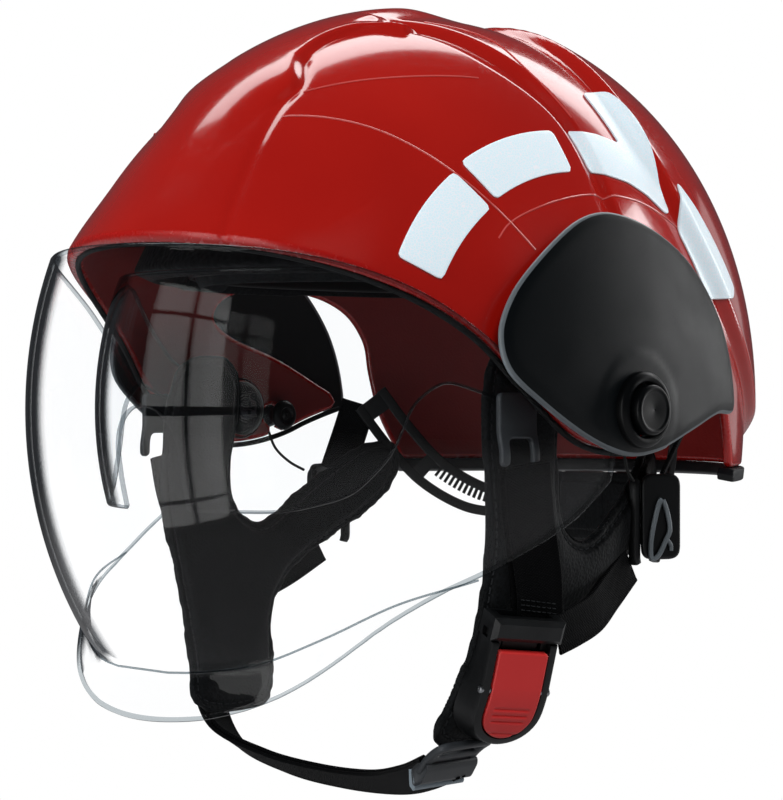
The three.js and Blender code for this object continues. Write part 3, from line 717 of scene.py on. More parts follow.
LOOKS = {
    "shell": lacquer("shell_red", linear(174, 25, 16), linear(160, 19, 12)),
    # the mould lines' paler pink is a painted highlight along each raised line
    "ridge": lacquer("shell_ridge_highlight", linear(214, 96, 92), linear(190, 70, 66)),
    "inner": moulded("shell_inside", linear(128, 17, 13), 0.6, grain=1.1, depth=0.16),
    "cut": lacquer("shell_cut_edge", linear(180, 22, 16), linear(164, 18, 14), gloss=0.25),
    "trim": moulded("trim_black", linear(14, 15, 17), 0.5, level=0.3),
    "rubber": moulded("edge_rubber", linear(8, 9, 10), 0.7, grain=0.9, level=0.25),
    "cover": moulded("cover_black", linear(6, 9, 11), 0.46, grain=2.4, depth=0.04, edge=linear(44, 49, 52),
                     level=0.24),
    # pale grey: a painted highlight on the side covers' rims, and the wire loop's own grey
    "rim_highlight_and_wire_grey": moulded("rim_highlight_and_wire_grey", linear(88, 94, 98), 0.34, grain=2.4, depth=0.02),
    "steel_dark": metal("screw_dark", linear(60, 62, 66), 0.35),
    "knob": moulded("knob_black", linear(5, 6, 7), 0.36, grain=2.4, depth=0.02, level=0.2),
    "grey": moulded("bracket_grey", linear(44, 47, 50), 0.45),
    "pale": moulded("slider_bar", linear(122, 134, 142), 0.4, level=0.4),
    "steel": metal("screw_steel", linear(170, 172, 175), 0.3),
    # the second colour of each clear look is painted shade where the wall turns from sight; the _edge looks
    # let less through: painted shade on rims and the lip line
    "shield": clear("clear_shield", (0.994, 0.996, 0.998), (0.03, 0.035, 0.04)),
    "shield_edge": clear("clear_edge", (0.52, 0.56, 0.58), (0.02, 0.025, 0.03)),
    "lens": clear("clear_lens", (0.985, 0.99, 0.993), (0.05, 0.055, 0.06), 1.12),
    "lens_edge": clear("clear_lens_edge", (0.45, 0.48, 0.50), (0.02, 0.025, 0.03)),
    "foam": grained("liner_foam", linear(8, 8, 9), linear(20, 20, 22), 0.45, 0.35, 0.9),
    "band": moulded("band_plastic", linear(7, 8, 9), 0.5, level=0.3),
    "fabric": grained("pad_fabric", linear(16, 17, 18), linear(34, 36, 38), 1.1, 0.1, 0.8),
    "leather": grained("pad_leather", linear(4, 5, 5), linear(15, 17, 19), 0.8, 0.2, 0.62),
    "webbing": woven("webbing", linear(3, 3, 4), linear(13, 14, 15)),
    "stitch": grained("stitching", linear(16, 17, 18), linear(48, 50, 52), 2.4, 0.1, 0.7),
    "buckle": moulded("buckle_black", linear(8, 9, 10), 0.4, grain=1.8, depth=0.04, level=0.38),
    "button": moulded("buckle_red", linear(206, 42, 41), 0.42, edge=linear(214, 96, 90)),
    # the tape's faint glow is painted light
    "tape": retroreflective("reflective", linear(222, 243, 254), linear(244, 251, 255)),
}

# ---------------------------------------------------------------- the shell's surface

CREST = {"rise": 3.2, "brow": -128, "abrupt": 41, "back": -80}
PANEL = {"rise": 5.0, "front": 40, "sweep": 33, "waist": 122}
BRIM_FLARE = 2.8
BROW_CREASE = [(44, -127, 57), (41, -121, 72), (37, -110, 90), (33, -95, 108), (32, -85, 117), (23, -74, 130)]
CHANNEL_FRONT = [(20, -47, 146), (34, -32, 143), (62, -16, 128), (82, 0, 106), (99, 3, 74), (104, 5, 60)]
CHANNEL_REAR = [(16, -24, 152), (30, -15, 149), (51, -4, 139), (72, 6, 120), (89, 11, 95), (99, 14, 72),
                (104, 16, 60)]
CREST_SIDE = [(22, -74, 130), (20, -57, 140), (26, -42, 145), (36, -34, 143)]
CHANNEL = {"depth": 3.4, "floor": 0.62, "top": 8}
CREASE = {"depth": 0.8, "width": 2.6}


def egg_power(azimuth):
    """The exponent of the shell's side view, which goes from the front's to the rear's round the shell."""
    backness = (1 - np.cos(azimuth)) / 2
    return 2 / (SHELL["front_power"] + (SHELL["rear_power"] - SHELL["front_power"]) * backness)


def egg(directions, offset=0.0):
    """The plain shell surface: an ellipse-like egg, fuller behind than in front, grown by an offset."""
    x, y, z = directions.T
    azimuth = np.arctan2(x, -y)
    power = egg_power(azimuth)
    level = np.sqrt(np.maximum(1 - z * z, 0)) ** power
    rise = np.sign(z) * np.abs(z) ** power
    length = np.where(y < 0, SHELL["front"], SHELL["rear"]) + offset
    width, height = SHELL["half_width"] + offset, SHELL["height"] + offset
    return np.stack([width * level * np.sin(azimuth), -length * level * np.cos(azimuth), height * rise], 1)


def folded(points):
    """The same points with both sides laid over the left one."""
    return np.stack([np.abs(points[:, 0]), points[:, 1], points[:, 2]], 1)


def channel(points):
    """The depth of the groove from the crown down to the side cover: a slope behind a crisp front edge."""
    x, y, z = points.T
    lean = np.degrees(np.arctan2(x, z))
    fore, aft = [np.interp(lean, *lean_and_y(line)) for line in (CHANNEL_FRONT, CHANNEL_REAR)]
    share = (y - fore) / (aft - fore)
    floor = CHANNEL["floor"]
    profile = np.clip(share / floor, 0, 1) * (1 - smooth_step(floor, 1, share))
    top = CHANNEL["top"]
    along = smooth_step(top - 1.5, top + 1.5, lean) * (1 - 0.4 * smooth_step(30, 60, lean))
    return CHANNEL["depth"] * profile * along


def lean_and_y(line):
    """A line over the shell as its lean from straight up, in degrees, against y."""
    path = spline(line, 8)
    return np.degrees(np.arctan2(path[:, 0], path[:, 2])), path[:, 1]


def relief(points):
    """How far the mouldings stand proud of the plain egg, in mm."""
    p = folded(points)
    _, y, z = p.T
    start = PANEL["front"] + (np.maximum(PANEL["waist"] - z, 0) / 80) ** 2 * PANEL["sweep"]
    panel = smooth_step(start - 3, start + 2, y) * smooth_step(-18, 0, z) * PANEL["rise"]
    brim = smooth_step(60, 120, -y) * (1 - smooth_step(52, 84, z)) * BRIM_FLARE
    out = np.maximum(panel, brim)
    top = (y < 30) & (z > 40)
    out[top] += crown_relief(p[top])
    return out


def crown_relief(points):
    """The share of the relief over the crown and brow: brow crease, side channel and crest."""
    x, y, _ = points.T
    crease = distance_to(points, egg(on_shell(spline(BROW_CREASE, 6))))
    dent = -CREASE["depth"] * bell(crease, CREASE["width"])
    line = egg(on_shell(spline(BROW_CREASE[:-1] + CREST_SIDE, 8)))
    side = distance_to(points, line)
    edge = np.interp(y, line[:, 1], line[:, 0])
    raised = smooth_step(-1.5, 1.5, np.where(x < edge, side, -side)) * smooth_step(-24, -34, y)
    ridge = smooth_step(22, 8, x) * smooth_step(28, -10, y)
    start = CREST["brow"] + CREST["abrupt"] * np.clip(x / edge, 0, 1) ** 2
    climb = smooth_step(0, 1, (y - start) / (CREST["back"] - start))
    return dent - channel(points) + CREST["rise"] * np.maximum(raised, ridge) * climb


def shell_surface(offset=0.0, raised=True):
    def place(directions):
        points = egg(directions, offset)
        if not raised:
            return points
        lift = relief(points)
        return points * (1 + lift / np.linalg.norm(points, axis=1))[:, None]
    return place


def on_shell(points):
    """The directions whose places on the shell lie under the points."""
    x, y, z = np.asarray(points, float).T
    length = np.where(y < 0, SHELL["front"], SHELL["rear"])
    across, along = x / SHELL["half_width"], -y / length
    azimuth = np.arctan2(across, along)
    power = egg_power(azimuth)
    slope = np.abs(z / SHELL["height"] / np.maximum(np.hypot(across, along), 1e-6)) ** (1 / power)
    rise = np.sign(z) * slope / np.sqrt(1 + slope**2)
    level = np.sqrt(1 - rise**2)
    return np.stack([level * np.sin(azimuth), -level * np.cos(azimuth), rise], 1)


lower_edge = spline(LOWER_EDGE, 6, power=0)
ear_notch = spline(EAR_NOTCH, 6, power=0)
CUT = np.concatenate([lower_edge, ear_notch, [(FAR, REAR_RIM_Z), (FAR, -FAR), (-FAR, -FAR),
                                              (-FAR, LOWER_EDGE[0][1])]])
HUB_HOLE = 8.4
STUD = {"y": 26, "z": -3, "hole": 4.4}
keep_shell = minus(inside(CUT))


def shell_field(points):
    holes = np.minimum(-round_x(HUB_HOLE)(points), -round_x(STUD["hole"], STUD["y"], STUD["z"])(points))
    return np.minimum(keep_shell(points), holes) - SHELL_WALL / 2


def build_shell():
    """The red shell: relief outside, a plain wall inside, and the cut edge between them."""
    sheet = trim(sphere_grid(fineness(190), -0.3), shell_surface(0, False), shell_field)
    points, faces, region = thick(sheet, shell_surface(0), shell_surface(-SHELL_WALL, False))
    shell = make("shell", points, faces, [LOOKS["shell"], LOOKS["inner"], LOOKS["cut"]], region, angle=50)
    finish_piece(shell, "shell_red", "outer_shell")


# ---------------------------------------------------------------- shell trims and reflective strips

EDGE_BEAD = 1.1


def shell_rim_path():
    """The left half of the shell's lower edge, from the middle of the brow to the back of the side lobe."""
    wall = SHELL_WALL / 2
    half = []
    for y, z in evenly(lower_edge, 90):
        power = 2 / SHELL["front_power"]
        reach = (1 - abs(z / (SHELL["height"] - wall)) ** SHELL["front_power"]) ** (power / 2)
        length = (SHELL["front"] if y < 0 else SHELL["rear"]) - wall
        across = reach**2 - (y / length) ** 2
        if across > 0.003:
            half.append(((SHELL["half_width"] - wall) * across**0.5, y, z))
    return np.array(half)


def shell_beads():
    """A thin rubber edge along the lower rim of both side lobes and the brow."""
    half = shell_rim_path() + (0, 0, -1.2)
    whole = np.concatenate([half[::-1], half * (-1, 1, 1)])
    path = evenly(spline(evenly(whole, 60), 4), 260)
    points, faces, _ = swept(path, circle(EDGE_BEAD, 12), (0, 0, 1))
    finish_piece(make("edge_rubber", points, faces, LOOKS["rubber"]), "edge_rubber", "shell_edge_trim")


MOULD_LINES = {
    "upper_facet": [(36, -86, 116), (44, -74, 119), (56, -51, 121), (65, -25, 121)],
    "lower_facet": [(37, -97, 106), (49, -88, 105), (63, -77, 101), (78, -63, 90), (91, -49, 75),
                    (101, -34, 56)],
    "cover_ring": [(97, -48, 60), (96, -42, 65), (97, -27, 72), (96, 0, 77), (95, 30, 76), (93, 55, 66)],
    "channel_edge": [(28, -16, 148), (45, 1, 139), (63, 3, 128), (80, 9, 108)],
}
MOULD_RIDGE = 0.34


def mould_lines():
    """Fine raised lines along the shell's facets and round the side covers, in a paler pink: a painted
    highlight along each line.
    """
    for name, line in MOULD_LINES.items():
        path = evenly(spline(line, 10), 90)
        path = shell_surface(0.05)(on_shell(path))
        path = evenly(path, 90)
        away = path / np.linalg.norm(path, axis=1)[:, None]
        both_sides(name, swept(path, circle(MOULD_RIDGE, 8), away)[:2], LOOKS["ridge"], "shell_red")


def rear_rim():
    """The black moulding under the rear edge, with a lip that overlaps the shell."""
    top, bottom, front = REAR_RIM_Z - 0.3, REAR_RIM_Z - 5.3, 86

    def field(points):
        _, y, z = points.T
        return np.min([y - front, top - z, z - bottom], axis=0) - 0.8

    sheet = trim(sphere_grid(fineness(120), -0.4), shell_surface(0, False), field,
                 window=((-FAR, front - 8, bottom - 8), (FAR, FAR, top + 8)))
    points, faces, _ = thick(sheet, shell_surface(1.4, False), shell_surface(-SHELL_WALL - 1.4, False), 0.8)
    finish_piece(make("rear_rim", points, faces, LOOKS["trim"]), "trim_black", "rear_rim_trim")


STRIP_CORNER = 1.8


def sector(inner, outer, start, end):
    """A piece of a ring about the pivot seen from the side, with rounded corners."""
    def arc(radius, a, b):
        return [(radius * cos(radians(t)), radius * sin(radians(t))) for t in np.linspace(a, b, 14)]
    ring = arc(outer, start, end) + arc(inner, end, start)
    return rounded(ring, STRIP_CORNER, 4)


STRIPS = {
    "brow": sector(85, 100, 124.5, 148.5),
    "temple": sector(86, 101, 94, 121),
    "chevron": rounded([(5, 102), (18, 101.5), (31, 99), (27, 119), (41, 121), (46, 110), (46, 84), (48, 74),
                        (45, 73.5), (35, 80), (25, 84), (6, 87)], STRIP_CORNER, 4),
    "rear": rounded([(55, 86), (64, 77), (86, 47), (83, 43), (66, 42), (52, 66)], 2, 4),
}


def reflective_strips():
    """Four stickers a side, cut out of the shell's own surface and laid on it."""
    grid = sphere_grid(fineness(170), 0.1)
    for name, outline in STRIPS.items():
        low, high = outline.min(0), outline.max(0)
        window = ((15, low[0] - 3, low[1] - 3), (FAR, high[0] + 3, high[1] + 3))
        sheet = trim(grid, shell_surface(0.6), inside(outline), window=window)
        points, faces, _ = thick(sheet, shell_surface(0.85), shell_surface(0.1), 0.3, 2)
        both_sides(f"strip_{name}", (points, faces), LOOKS["tape"], "reflective", f"reflector_{name}")


# ---------------------------------------------------------------- side covers and pivots

COVER = {"inner": 4.9, "outer": 8.2, "bore": 9.8, "disc": 20.5, "disc_rise": 0.5}
COVER_OUTLINE = [(-61, 26), (-55, 39), (-41, 53), (-18, 68), (-2, 71.5), (20, 67), (42, 55), (60, 34),
                 (68, 12), (68, -1), (54, -2), (34, -8), (12, -15), (-5, -16.5), (-24, -11), (-46, 2),
                 (-59, 14)]


def side_covers():
    """Curved covers over the pivots, with a rolled rim and a faint raised disc round the knob; the rim's pale
    grey is a painted highlight.
    """
    outline = spline(COVER_OUTLINE, 6, closed=True)
    rim = inside(outline)

    def field(points):
        return np.minimum(rim(points), -round_x(COVER["bore"])(points)) - 1.6

    def outside(directions):
        points = shell_surface(COVER["outer"], False)(directions)
        distance = np.hypot(points[:, 1], points[:, 2])
        disc = COVER["disc_rise"] * smooth_step(COVER["disc"] + 0.7, COVER["disc"] - 0.7, distance)
        edge = 0.7 * smooth_step(4.5, 0.5, rim(points))
        return points * (1 + (disc - edge) / np.linalg.norm(points, axis=1))[:, None]

    grid = sphere_grid(fineness(150), -0.4)
    sheet = trim(grid, shell_surface(COVER["outer"], False), field, window=((60, -70, -24), (FAR, 76, 80)))
    points, faces, region = thick(sheet, outside, shell_surface(COVER["inner"], False), 1.6, 4)
    # the rim's pale grey is a painted highlight along the cover's edge
    looks = [LOOKS["cover"], LOOKS["cover"], LOOKS["rim_highlight_and_wire_grey"]]
    both_sides("cover", (points, faces), looks, "cover_black", "side_cover", region=region)


PIVOT_PROFILES = {
    "collar": ("knob", "pivot_collar", [(120.6, 9.7), (123.2, 9.7), (124, 10.6), (124, 12), (122.6, 13.4),
                                       (119.6, 13.6), (119.6, 9.7)]),
    "knob": ("knob", "release_button", [(119, 0), (119, 8.9), (126, 8.9), (126.8, 8.1), (126.8, 7.4),
                                       (126.4, 6.9), (126.4, 0)]),
    "hub": ("grey", "pivot_hub", [(100.2, 0), (100.2, 7), (101, 8), (116, 8), (116.5, 7.5), (116.5, 0)]),
    "cone": ("knob", "pivot_cone", [(97.2, 0), (97.2, 11), (96.4, 11.4), (94.4, 9.4), (93.4, 7.2),
                                   (93.4, 6.2), (95.2, 5.4), (95.2, 0)]),
}


def pivots():
    """Collars, press knobs, hubs and cone washers, turned about the pivot axis."""
    slots = {"knob": "knob_black", "grey": "bracket_grey"}
    for name, (look, node, profile) in PIVOT_PROFILES.items():
        body = "{}_button" if name == "knob" else "helmet"
        both_sides(name, lathe(profile, 56, 0.5), LOOKS[look], slots[look], node, body=body)


SCREW = {"head": 4.7, "top": 93.2, "under": 95.0, "dome": 0.9, "recess": 1.3, "arm": (0.75, 2.7)}


def screws():
    """Pan-head screws with a cross recess, sunk in the cone washers."""
    narrow, long = SCREW["arm"]
    outline = []
    for k in range(4):
        turn = k * pi / 2
        for a, b in ((narrow, narrow), (long, narrow), (long, -narrow)):
            outline.append((a * cos(turn) + b * sin(turn), a * sin(turn) - b * cos(turn)))
    cross = inside(outline, (0, 1))
    grid = plane_grid((-5.5, -5.5), (5.5, 5.5), 0.25)

    def top(spots):
        radius = np.hypot(spots[:, 0], spots[:, 1])
        pit = smooth_step(-0.15, 0.25, cross(spots)) * SCREW["recess"]
        dome = SCREW["dome"] * np.maximum(1 - (radius / 5.2) ** 2, 0)
        return np.stack([SCREW["top"] - dome + pit, spots[:, 0], spots[:, 1]], 1)

    def under(spots):
        return np.stack([np.full(len(spots), SCREW["under"]), spots[:, 0], spots[:, 1]], 1)

    spots, quads = flat_trim(grid, lambda s: SCREW["head"] - 0.4 - np.hypot(s[:, 0], s[:, 1]))
    disc = spots * (1, -1, 1), [tuple(reversed(f)) for f in quads]
    points, faces, _ = thick(disc, under, top, 0.3, 2)
    faces = [tuple(reversed(f)) for f in faces]
    both_sides("screw", (points, faces), LOOKS["steel_dark"], "screw_steel", "pivot_screw")


def studs():
    """The rear strap's snap studs: a ringed cap on a short post."""
    profile = [(97.8, 0), (97.8, 1.4), (98.8, 1.9), (98.8, 3), (97.9, 3.5), (97.9, 4.8), (98.9, 6),
               (99.6, 6.4), (100.6, 6.4), (100.6, 3.9), (105.4, 3.9), (105.4, 0)]
    points, faces = lathe(profile, 48, 0.35)
    points = points + (0, STUD["y"], STUD["z"])
    both_sides("stud", (points, faces), LOOKS["knob"], "trim_black", "strap_stud")


# ---------------------------------------------------------------- shields

SHIELD = {"half_width": 115.8, "radius": 158.2, "wall": 2.3, "boss": 16}
EYE = {"half_width": 99.6, "radius": 129, "wall": 2.0, "boss": 13}
SHIELD_TOP = [(-170, 60), (-120, 54), (-88, 43), (-64, 27), (-45, 10), (-28, -1)]
SHIELD_BOTTOM = [(-8, -25), (-26, -40), (-52, -54), (-86, -72), (-120, -106), (-170, -109)]
LIP_LINE = [(-60, -58), (-86, -66), (-104, -78), (-118, -88), (-140, -93), (-170, -93)]
LIP = {"flare": 0.8, "flat": 0.45, "step": 0.8, "line": 0.4}
EYE_OUTLINE = [(-170, 50), (-96, 50), (-78, 47), (-68, 40), (-40, 19), (-10, 10), (-4, -9), (-40, 2),
               (-64, 10), (-74, 2), (-80, -16), (-90, -30), (-106, -36), (-170, -36)]
NOSE_NOTCH = {"half_width": 17, "top": -2, "radius": 14}


def spindle(half_width, radius):
    return lambda directions: directions * (half_width, radius, radius)


def below_lip(points):
    line = spline(LIP_LINE, 6)
    level = np.interp(-points[:, 1], -line[:, 0], line[:, 1])
    return np.where(points[:, 1] < LIP_LINE[0][0], level - points[:, 2], -5)


def shield_surface(inset):
    """The face shield's wall, whose lip flares out below the lip line and is thinner."""
    size = SHIELD["half_width"] - inset, SHIELD["radius"] - inset

    def place(directions):
        points = spindle(*size)(directions)
        under = below_lip(points)
        flare = LIP["flare"] * np.maximum(under, 0)
        if inset == 0:
            flare -= LIP["step"] * smooth_step(-0.6, 0.6, under)
        away = points * (1 / size[0] ** 2, 1 / size[1] ** 2, LIP["flat"] / size[1] ** 2)
        away /= np.linalg.norm(away, axis=1)[:, None]
        return points + away * flare[:, None]

    return place


def pivoted(outline, boss, hole, rear):
    """A shield's side-view field: its outline with a round boss about the pivot and a bore."""
    shape = inside(outline)

    def field(points):
        joined = np.maximum(shape(points), round_x(boss)(points))
        return np.min([joined, -round_x(hole)(points), rear - points[:, 1]], axis=0)

    return field


def face_shield():
    """The outer shield and the fine line along the top of its flared lip."""
    bottom, top = [spline(line, 8, power=0) for line in (SHIELD_BOTTOM, SHIELD_TOP)]
    outline = np.concatenate([top, [(-6, -6)], bottom])
    field = pivoted(outline, SHIELD["boss"], HUB_HOLE, SHIELD["boss"] + 2)
    plain = spindle(SHIELD["half_width"], SHIELD["radius"])
    grid = sphere_grid(fineness(120))
    sheet = trim(grid, plain, lambda p: field(p) - 1.1, window=((-FAR, -FAR, -FAR), (FAR, 25, 70)))
    points, faces, region = thick(sheet, shield_surface(0), shield_surface(SHIELD["wall"]), arc=2)
    # the rim takes the greyer clear look: painted shade along the cut edge
    looks = [LOOKS["shield"], LOOKS["shield"], LOOKS["shield_edge"]]
    piece = make("face_shield_clear", points, faces, looks, region, body="face_shield", angle=60)
    finish_piece(piece, "clear_shield", "face_shield")
    line = evenly(spline(LIP_LINE, 6), 60)
    half = []
    for y, z in line:
        reach = 1 - (y**2 + z**2) / SHIELD["radius"] ** 2
        if reach > 0.0008:
            half.append((SHIELD["half_width"] * reach**0.5, y, z))
    half = np.array(half)
    path = evenly(np.concatenate([half, half[::-1] * (-1, 1, 1)]), 240)
    points, faces, _ = swept(path, circle(LIP["line"], 8), (0, 0, 1))
    # the lip line's grey see-through colour is painted shade
    ridge = make("face_shield_lip_line", points, faces, LOOKS["shield_edge"], body="face_shield")
    finish_piece(ridge, "clear_shield")


def eye_shield():
    """The inner lens, with an arched notch over the nose."""
    field = pivoted(rounded(EYE_OUTLINE, 5, 5), EYE["boss"], HUB_HOLE, EYE["boss"] + 2)
    half, top, radius = NOSE_NOTCH["half_width"], NOSE_NOTCH["top"], NOSE_NOTCH["radius"]

    def notched(points):
        x, y, z = points.T
        arch = half - np.hypot(x, np.maximum(z - (top - radius), 0))
        notch = np.where(y < -60, arch, -FAR)
        return np.minimum(field(points), -notch) - 1.0

    plain = spindle(EYE["half_width"], EYE["radius"])
    grid = sphere_grid(fineness(120))
    sheet = trim(grid, plain, notched, window=((-FAR, -FAR, -50), (FAR, 25, 70)))
    inner = spindle(EYE["half_width"] - EYE["wall"], EYE["radius"] - EYE["wall"])
    points, faces, region = thick(sheet, plain, inner, arc=2)
    # the rim takes the greyer clear look: painted shade along the cut edge
    looks = [LOOKS["lens"], LOOKS["lens"], LOOKS["lens_edge"]]
    piece = make("eye_shield_clear", points, faces, looks, region, body="eye_shield", angle=60)
    finish_piece(piece, "clear_lens", "eye_shield")


# ---------------------------------------------------------------- liner, headband and inner pads

LINER = {"half_width": 96, "front": 124.6, "rear": 152, "height": 125, "rear_height": 145, "wall": 9,
         "bottom": 50, "garage_y": 18}
HEADBAND = {"half_width": 67.5, "front": 91, "rear": 113, "wall": 1.8, "low": 49, "high": 64, "reach": 150}
QUILTING = {"brow_pitch": 12, "crown_pitch": 17}
BROW_PAD = {"inset": 1.4, "wall": 5, "low": 46, "high": 63, "reach": 62}


def lining(half_width, front, rear, height):
    def place(directions):
        x, y, z = directions.T
        return np.stack([x * half_width, y * np.where(y < 0, front, rear), z * height], 1)
    return place


def liner():
    """The foam cap: higher behind the eye shield's garage, with air channels inside."""
    size = LINER

    def outside(directions):
        points = lining(size["half_width"], size["front"], size["rear"], size["height"])(directions)
        rise = size["rear_height"] / size["height"]
        back = smooth_step(size["garage_y"] - 1.5, size["garage_y"] + 1.5, points[:, 1])
        points[:, 2] *= 1 + (rise - 1) * back
        return points

    def inside_wall(directions):
        thin = [size[key] - size["wall"] for key in ("half_width", "front", "rear", "height")]
        points = lining(*thin)(directions)
        x, y, z = points.T
        channel = np.exp(-((np.abs(np.abs(x) - 34) / 5) ** 4)) * smooth_step(8, 20, z - size["bottom"])
        cross = np.exp(-((np.abs(y - 20) / 5) ** 4)) * smooth_step(8, 20, z - size["bottom"])
        return points * (1 + 2.5 * np.maximum(channel, cross) / np.linalg.norm(points, axis=1))[:, None]

    def field(points):
        brow = np.where(points[:, 1] < -58, HEADBAND["low"] + 2, size["bottom"])
        return points[:, 2] - brow - 1.5

    flat = lining(size["half_width"], size["front"], size["rear"], size["height"])
    sheet = trim(sphere_grid(fineness(64), 0.1), flat, field)
    points, faces, _ = thick(sheet, outside, inside_wall, 1.5)
    finish_piece(make("liner", points, faces, LOOKS["foam"]), "liner_foam", "impact_liner")


def band_surface(half_width, front, rear):
    """Places (angle from the front in degrees, height, distance out) on an oval band."""
    def place(spots, out=0.0):
        angle = np.radians(spots[:, 0])
        length = np.where(np.cos(angle) > 0, front, rear) + out
        return np.stack([(half_width + out) * np.sin(angle), -length * np.cos(angle), spots[:, 1]], 1)
    return place


def headband():
    """A thin plastic band with rows of slots."""
    size = HEADBAND
    place = band_surface(size["half_width"], size["front"], size["rear"])
    grid = plane_grid((-size["reach"], size["low"]), (size["reach"], size["high"]), 1.0)
    slots = [a for a in range(-140, 141, 14) if abs(a) > 5]

    def field(spots):
        edge = np.minimum(size["reach"] - np.abs(spots[:, 0]), np.minimum(
            spots[:, 1] - size["low"], size["high"] - spots[:, 1]))
        for middle in slots:
            dx = np.maximum(np.abs(spots[:, 0] - middle) * 1.4 - 4, 0)
            dz = spots[:, 1] - (size["low"] + size["high"]) / 2
            edge = np.minimum(edge, np.hypot(dx, dz) - 2)
        return edge - 0.9

    sheet = flat_trim(grid, field)
    half = size["wall"] / 2
    points, faces, _ = thick(sheet, lambda s: place(s, half), lambda s: place(s, -half))
    finish_piece(make("head_band", points, faces, LOOKS["band"]), "band_plastic", "headband")


def brow_pad():
    """The sweat pad: soft, with a quilted row of pockets."""
    size = BROW_PAD
    middle = size["inset"] + size["wall"] / 2
    place = band_surface(HEADBAND["half_width"] - middle, HEADBAND["front"] - middle, HEADBAND["rear"])
    low, high, reach = size["low"], size["high"], size["reach"]
    grid = plane_grid((-reach, low), (reach, high), 1.0)

    def field(spots):
        dx = np.maximum(np.abs(spots[:, 0]) - (reach - 7), 0)
        dz = np.maximum(np.abs(spots[:, 1] - (low + high) / 2) - ((high - low) / 2 - 7), 0)
        return 7 - np.hypot(dx, dz) - 0.8

    def puff(spots, face):
        edge = smooth_step(0, 4, field(spots) + 0.8)
        half = QUILTING["brow_pitch"] / 2
        seam = 1 - 0.45 * bell((spots[:, 0] + half) % (2 * half) - half, 1.3)
        return place(spots, face * (0.9 + (size["wall"] / 2 - 0.9) * edge * seam))

    sheet = flat_trim(grid, field)
    points, faces, _ = thick(sheet, lambda s: puff(s, 1), lambda s: puff(s, -1))
    pad = make("brow_cushion", points, faces, LOOKS["fabric"])
    finish_piece(pad, "pad_fabric", "brow_pad")


def crown_pad():
    """The comfort pad under the crown: a round of quilted fabric that follows the liner."""
    top = LINER["height"] - LINER["wall"] - 1.2
    outside = lining(LINER["half_width"] - 11, 112, 138, top)

    def field(points):
        return 52 - np.hypot(points[:, 0], points[:, 1] - 4) - 1.5

    def lower(directions):
        points = outside(directions)
        depth = 2 + 4.6 * smooth_step(0, 12, field(points) + 1.5)
        x, y = points[:, 0], points[:, 1]
        one_way, other_way = [((x + s * y) / QUILTING["crown_pitch"]) % 1 - 0.5 for s in (1, -1)]
        quilt = np.abs(one_way) * np.abs(other_way)
        depth -= 1.6 * bell(quilt, 0.02)
        return points * (1 - depth / np.linalg.norm(points, axis=1))[:, None]

    sheet = trim(sphere_grid(fineness(56), 0.2), outside, field)
    points, faces, _ = thick(sheet, outside, lower)
    pad = make("crown_cushion", points, faces, LOOKS["fabric"])
    finish_piece(pad, "pad_fabric", "crown_pad")


# ---------------------------------------------------------------- nape ratchet

NAPE = {"y": 119, "z": -42, "width": 44, "height": 30}
WHEEL = {"radius": 11, "depth": 7, "ribs": 18}
RACK = {"height": 9, "thickness": 2.2, "inner": 8, "outer": 38, "y": 116.5, "pitch": 2.4}
BAND_ARM = [(84, 62, 4), (77, 72, -12), (66, 82, -28), (54, 97, -39), (45, 110, -42)]


def plate(outline, holes=(), spacing=0.8, thickness=3.0, radius=0.8, bend=None):
    """A flat part in its own (u, v, height) frame with rounded edges: an outline less rounded holes.

    bend adds height at each (u, v), to curve or dish the part."""
    outline = np.asarray(outline, float)
    grown = min(radius, thickness / 2)
    shapes = [inside(outline, (0, 1))] + [minus(inside(hole, (0, 1))) for hole in holes]
    low, high = outline.min(0) - spacing, outline.max(0) + spacing
    grid = plane_grid(low, high, spacing)
    sheet = flat_trim(grid, lambda s: np.min([f(s) for f in shapes], axis=0) - grown)

    def level(height):
        def place(spots):
            lift = height + (bend(spots) if bend else 0)
            return np.stack([spots[:, 0], spots[:, 1], np.broadcast_to(lift, len(spots))], 1)
        return place

    points, faces, _ = thick(sheet, level(thickness / 2), level(-thickness / 2), radius)
    return points, faces


def box_outline(width, height, corner=0.0, centre=(0, 0)):
    w, h = width / 2, height / 2
    ring = np.array([(-w, -h), (w, -h), (w, h), (-w, h)]) + centre
    return rounded(ring, corner, 5) if corner else ring


def frame_matrix(origin, u, v):
    """A matrix in mm that takes (u, v, height) to the helmet's frame."""
    u, v = Vector(u).normalized(), Vector(v)
    n = u.cross(v).normalized()
    v = n.cross(u)
    made = Matrix((u, v, n)).transposed().to_4x4()
    made.translation = Vector(origin)
    return made


def join(*parts):
    """Several closed solids as the points and faces of one piece."""
    points, faces, start = [], [], 0
    for p, f in parts:
        points.append(np.asarray(p, float))
        faces += [tuple(i + start for i in face) for face in f]
        start += len(p)
    return np.concatenate(points), faces


def moved(part, matrix):
    turn = np.array(matrix)
    return np.asarray(part[0], float) @ turn[:3, :3].T + turn[:3, 3], part[1]


def nape_housing():
    """The ratchet's case: a rounded block, open at the back for the wheel and at its sides for the racks."""
    size = NAPE
    outline = box_outline(size["width"], size["height"], 7)
    bore = circle(WHEEL["radius"] + 0.6, 39)
    turn = frame_matrix((0, size["y"], size["z"]), (-1, 0, 0), (0, 0, 1))
    front = moved(plate(outline, thickness=3.2, radius=1.2), Matrix.Translation((0, 0, -4.7)))
    rim = moved(plate(outline, [bore], thickness=5.0, radius=1.6), Matrix.Translation((0, 0, 3.9)))
    bars = []
    for v in (-13.2, 0, 13.2):
        tall = 3.4 if v else 3.6
        bars.append(moved(plate(box_outline(size["width"] - 6, tall, 0.8, (0, v)), thickness=5.0, radius=0.4),
                          Matrix.Translation((0, 0, -1.0))))
    points, faces = join(front, rim, *bars)
    finish_piece(make("nape_case", points, faces, LOOKS["band"], place=turn), "band_plastic", "nape_housing")


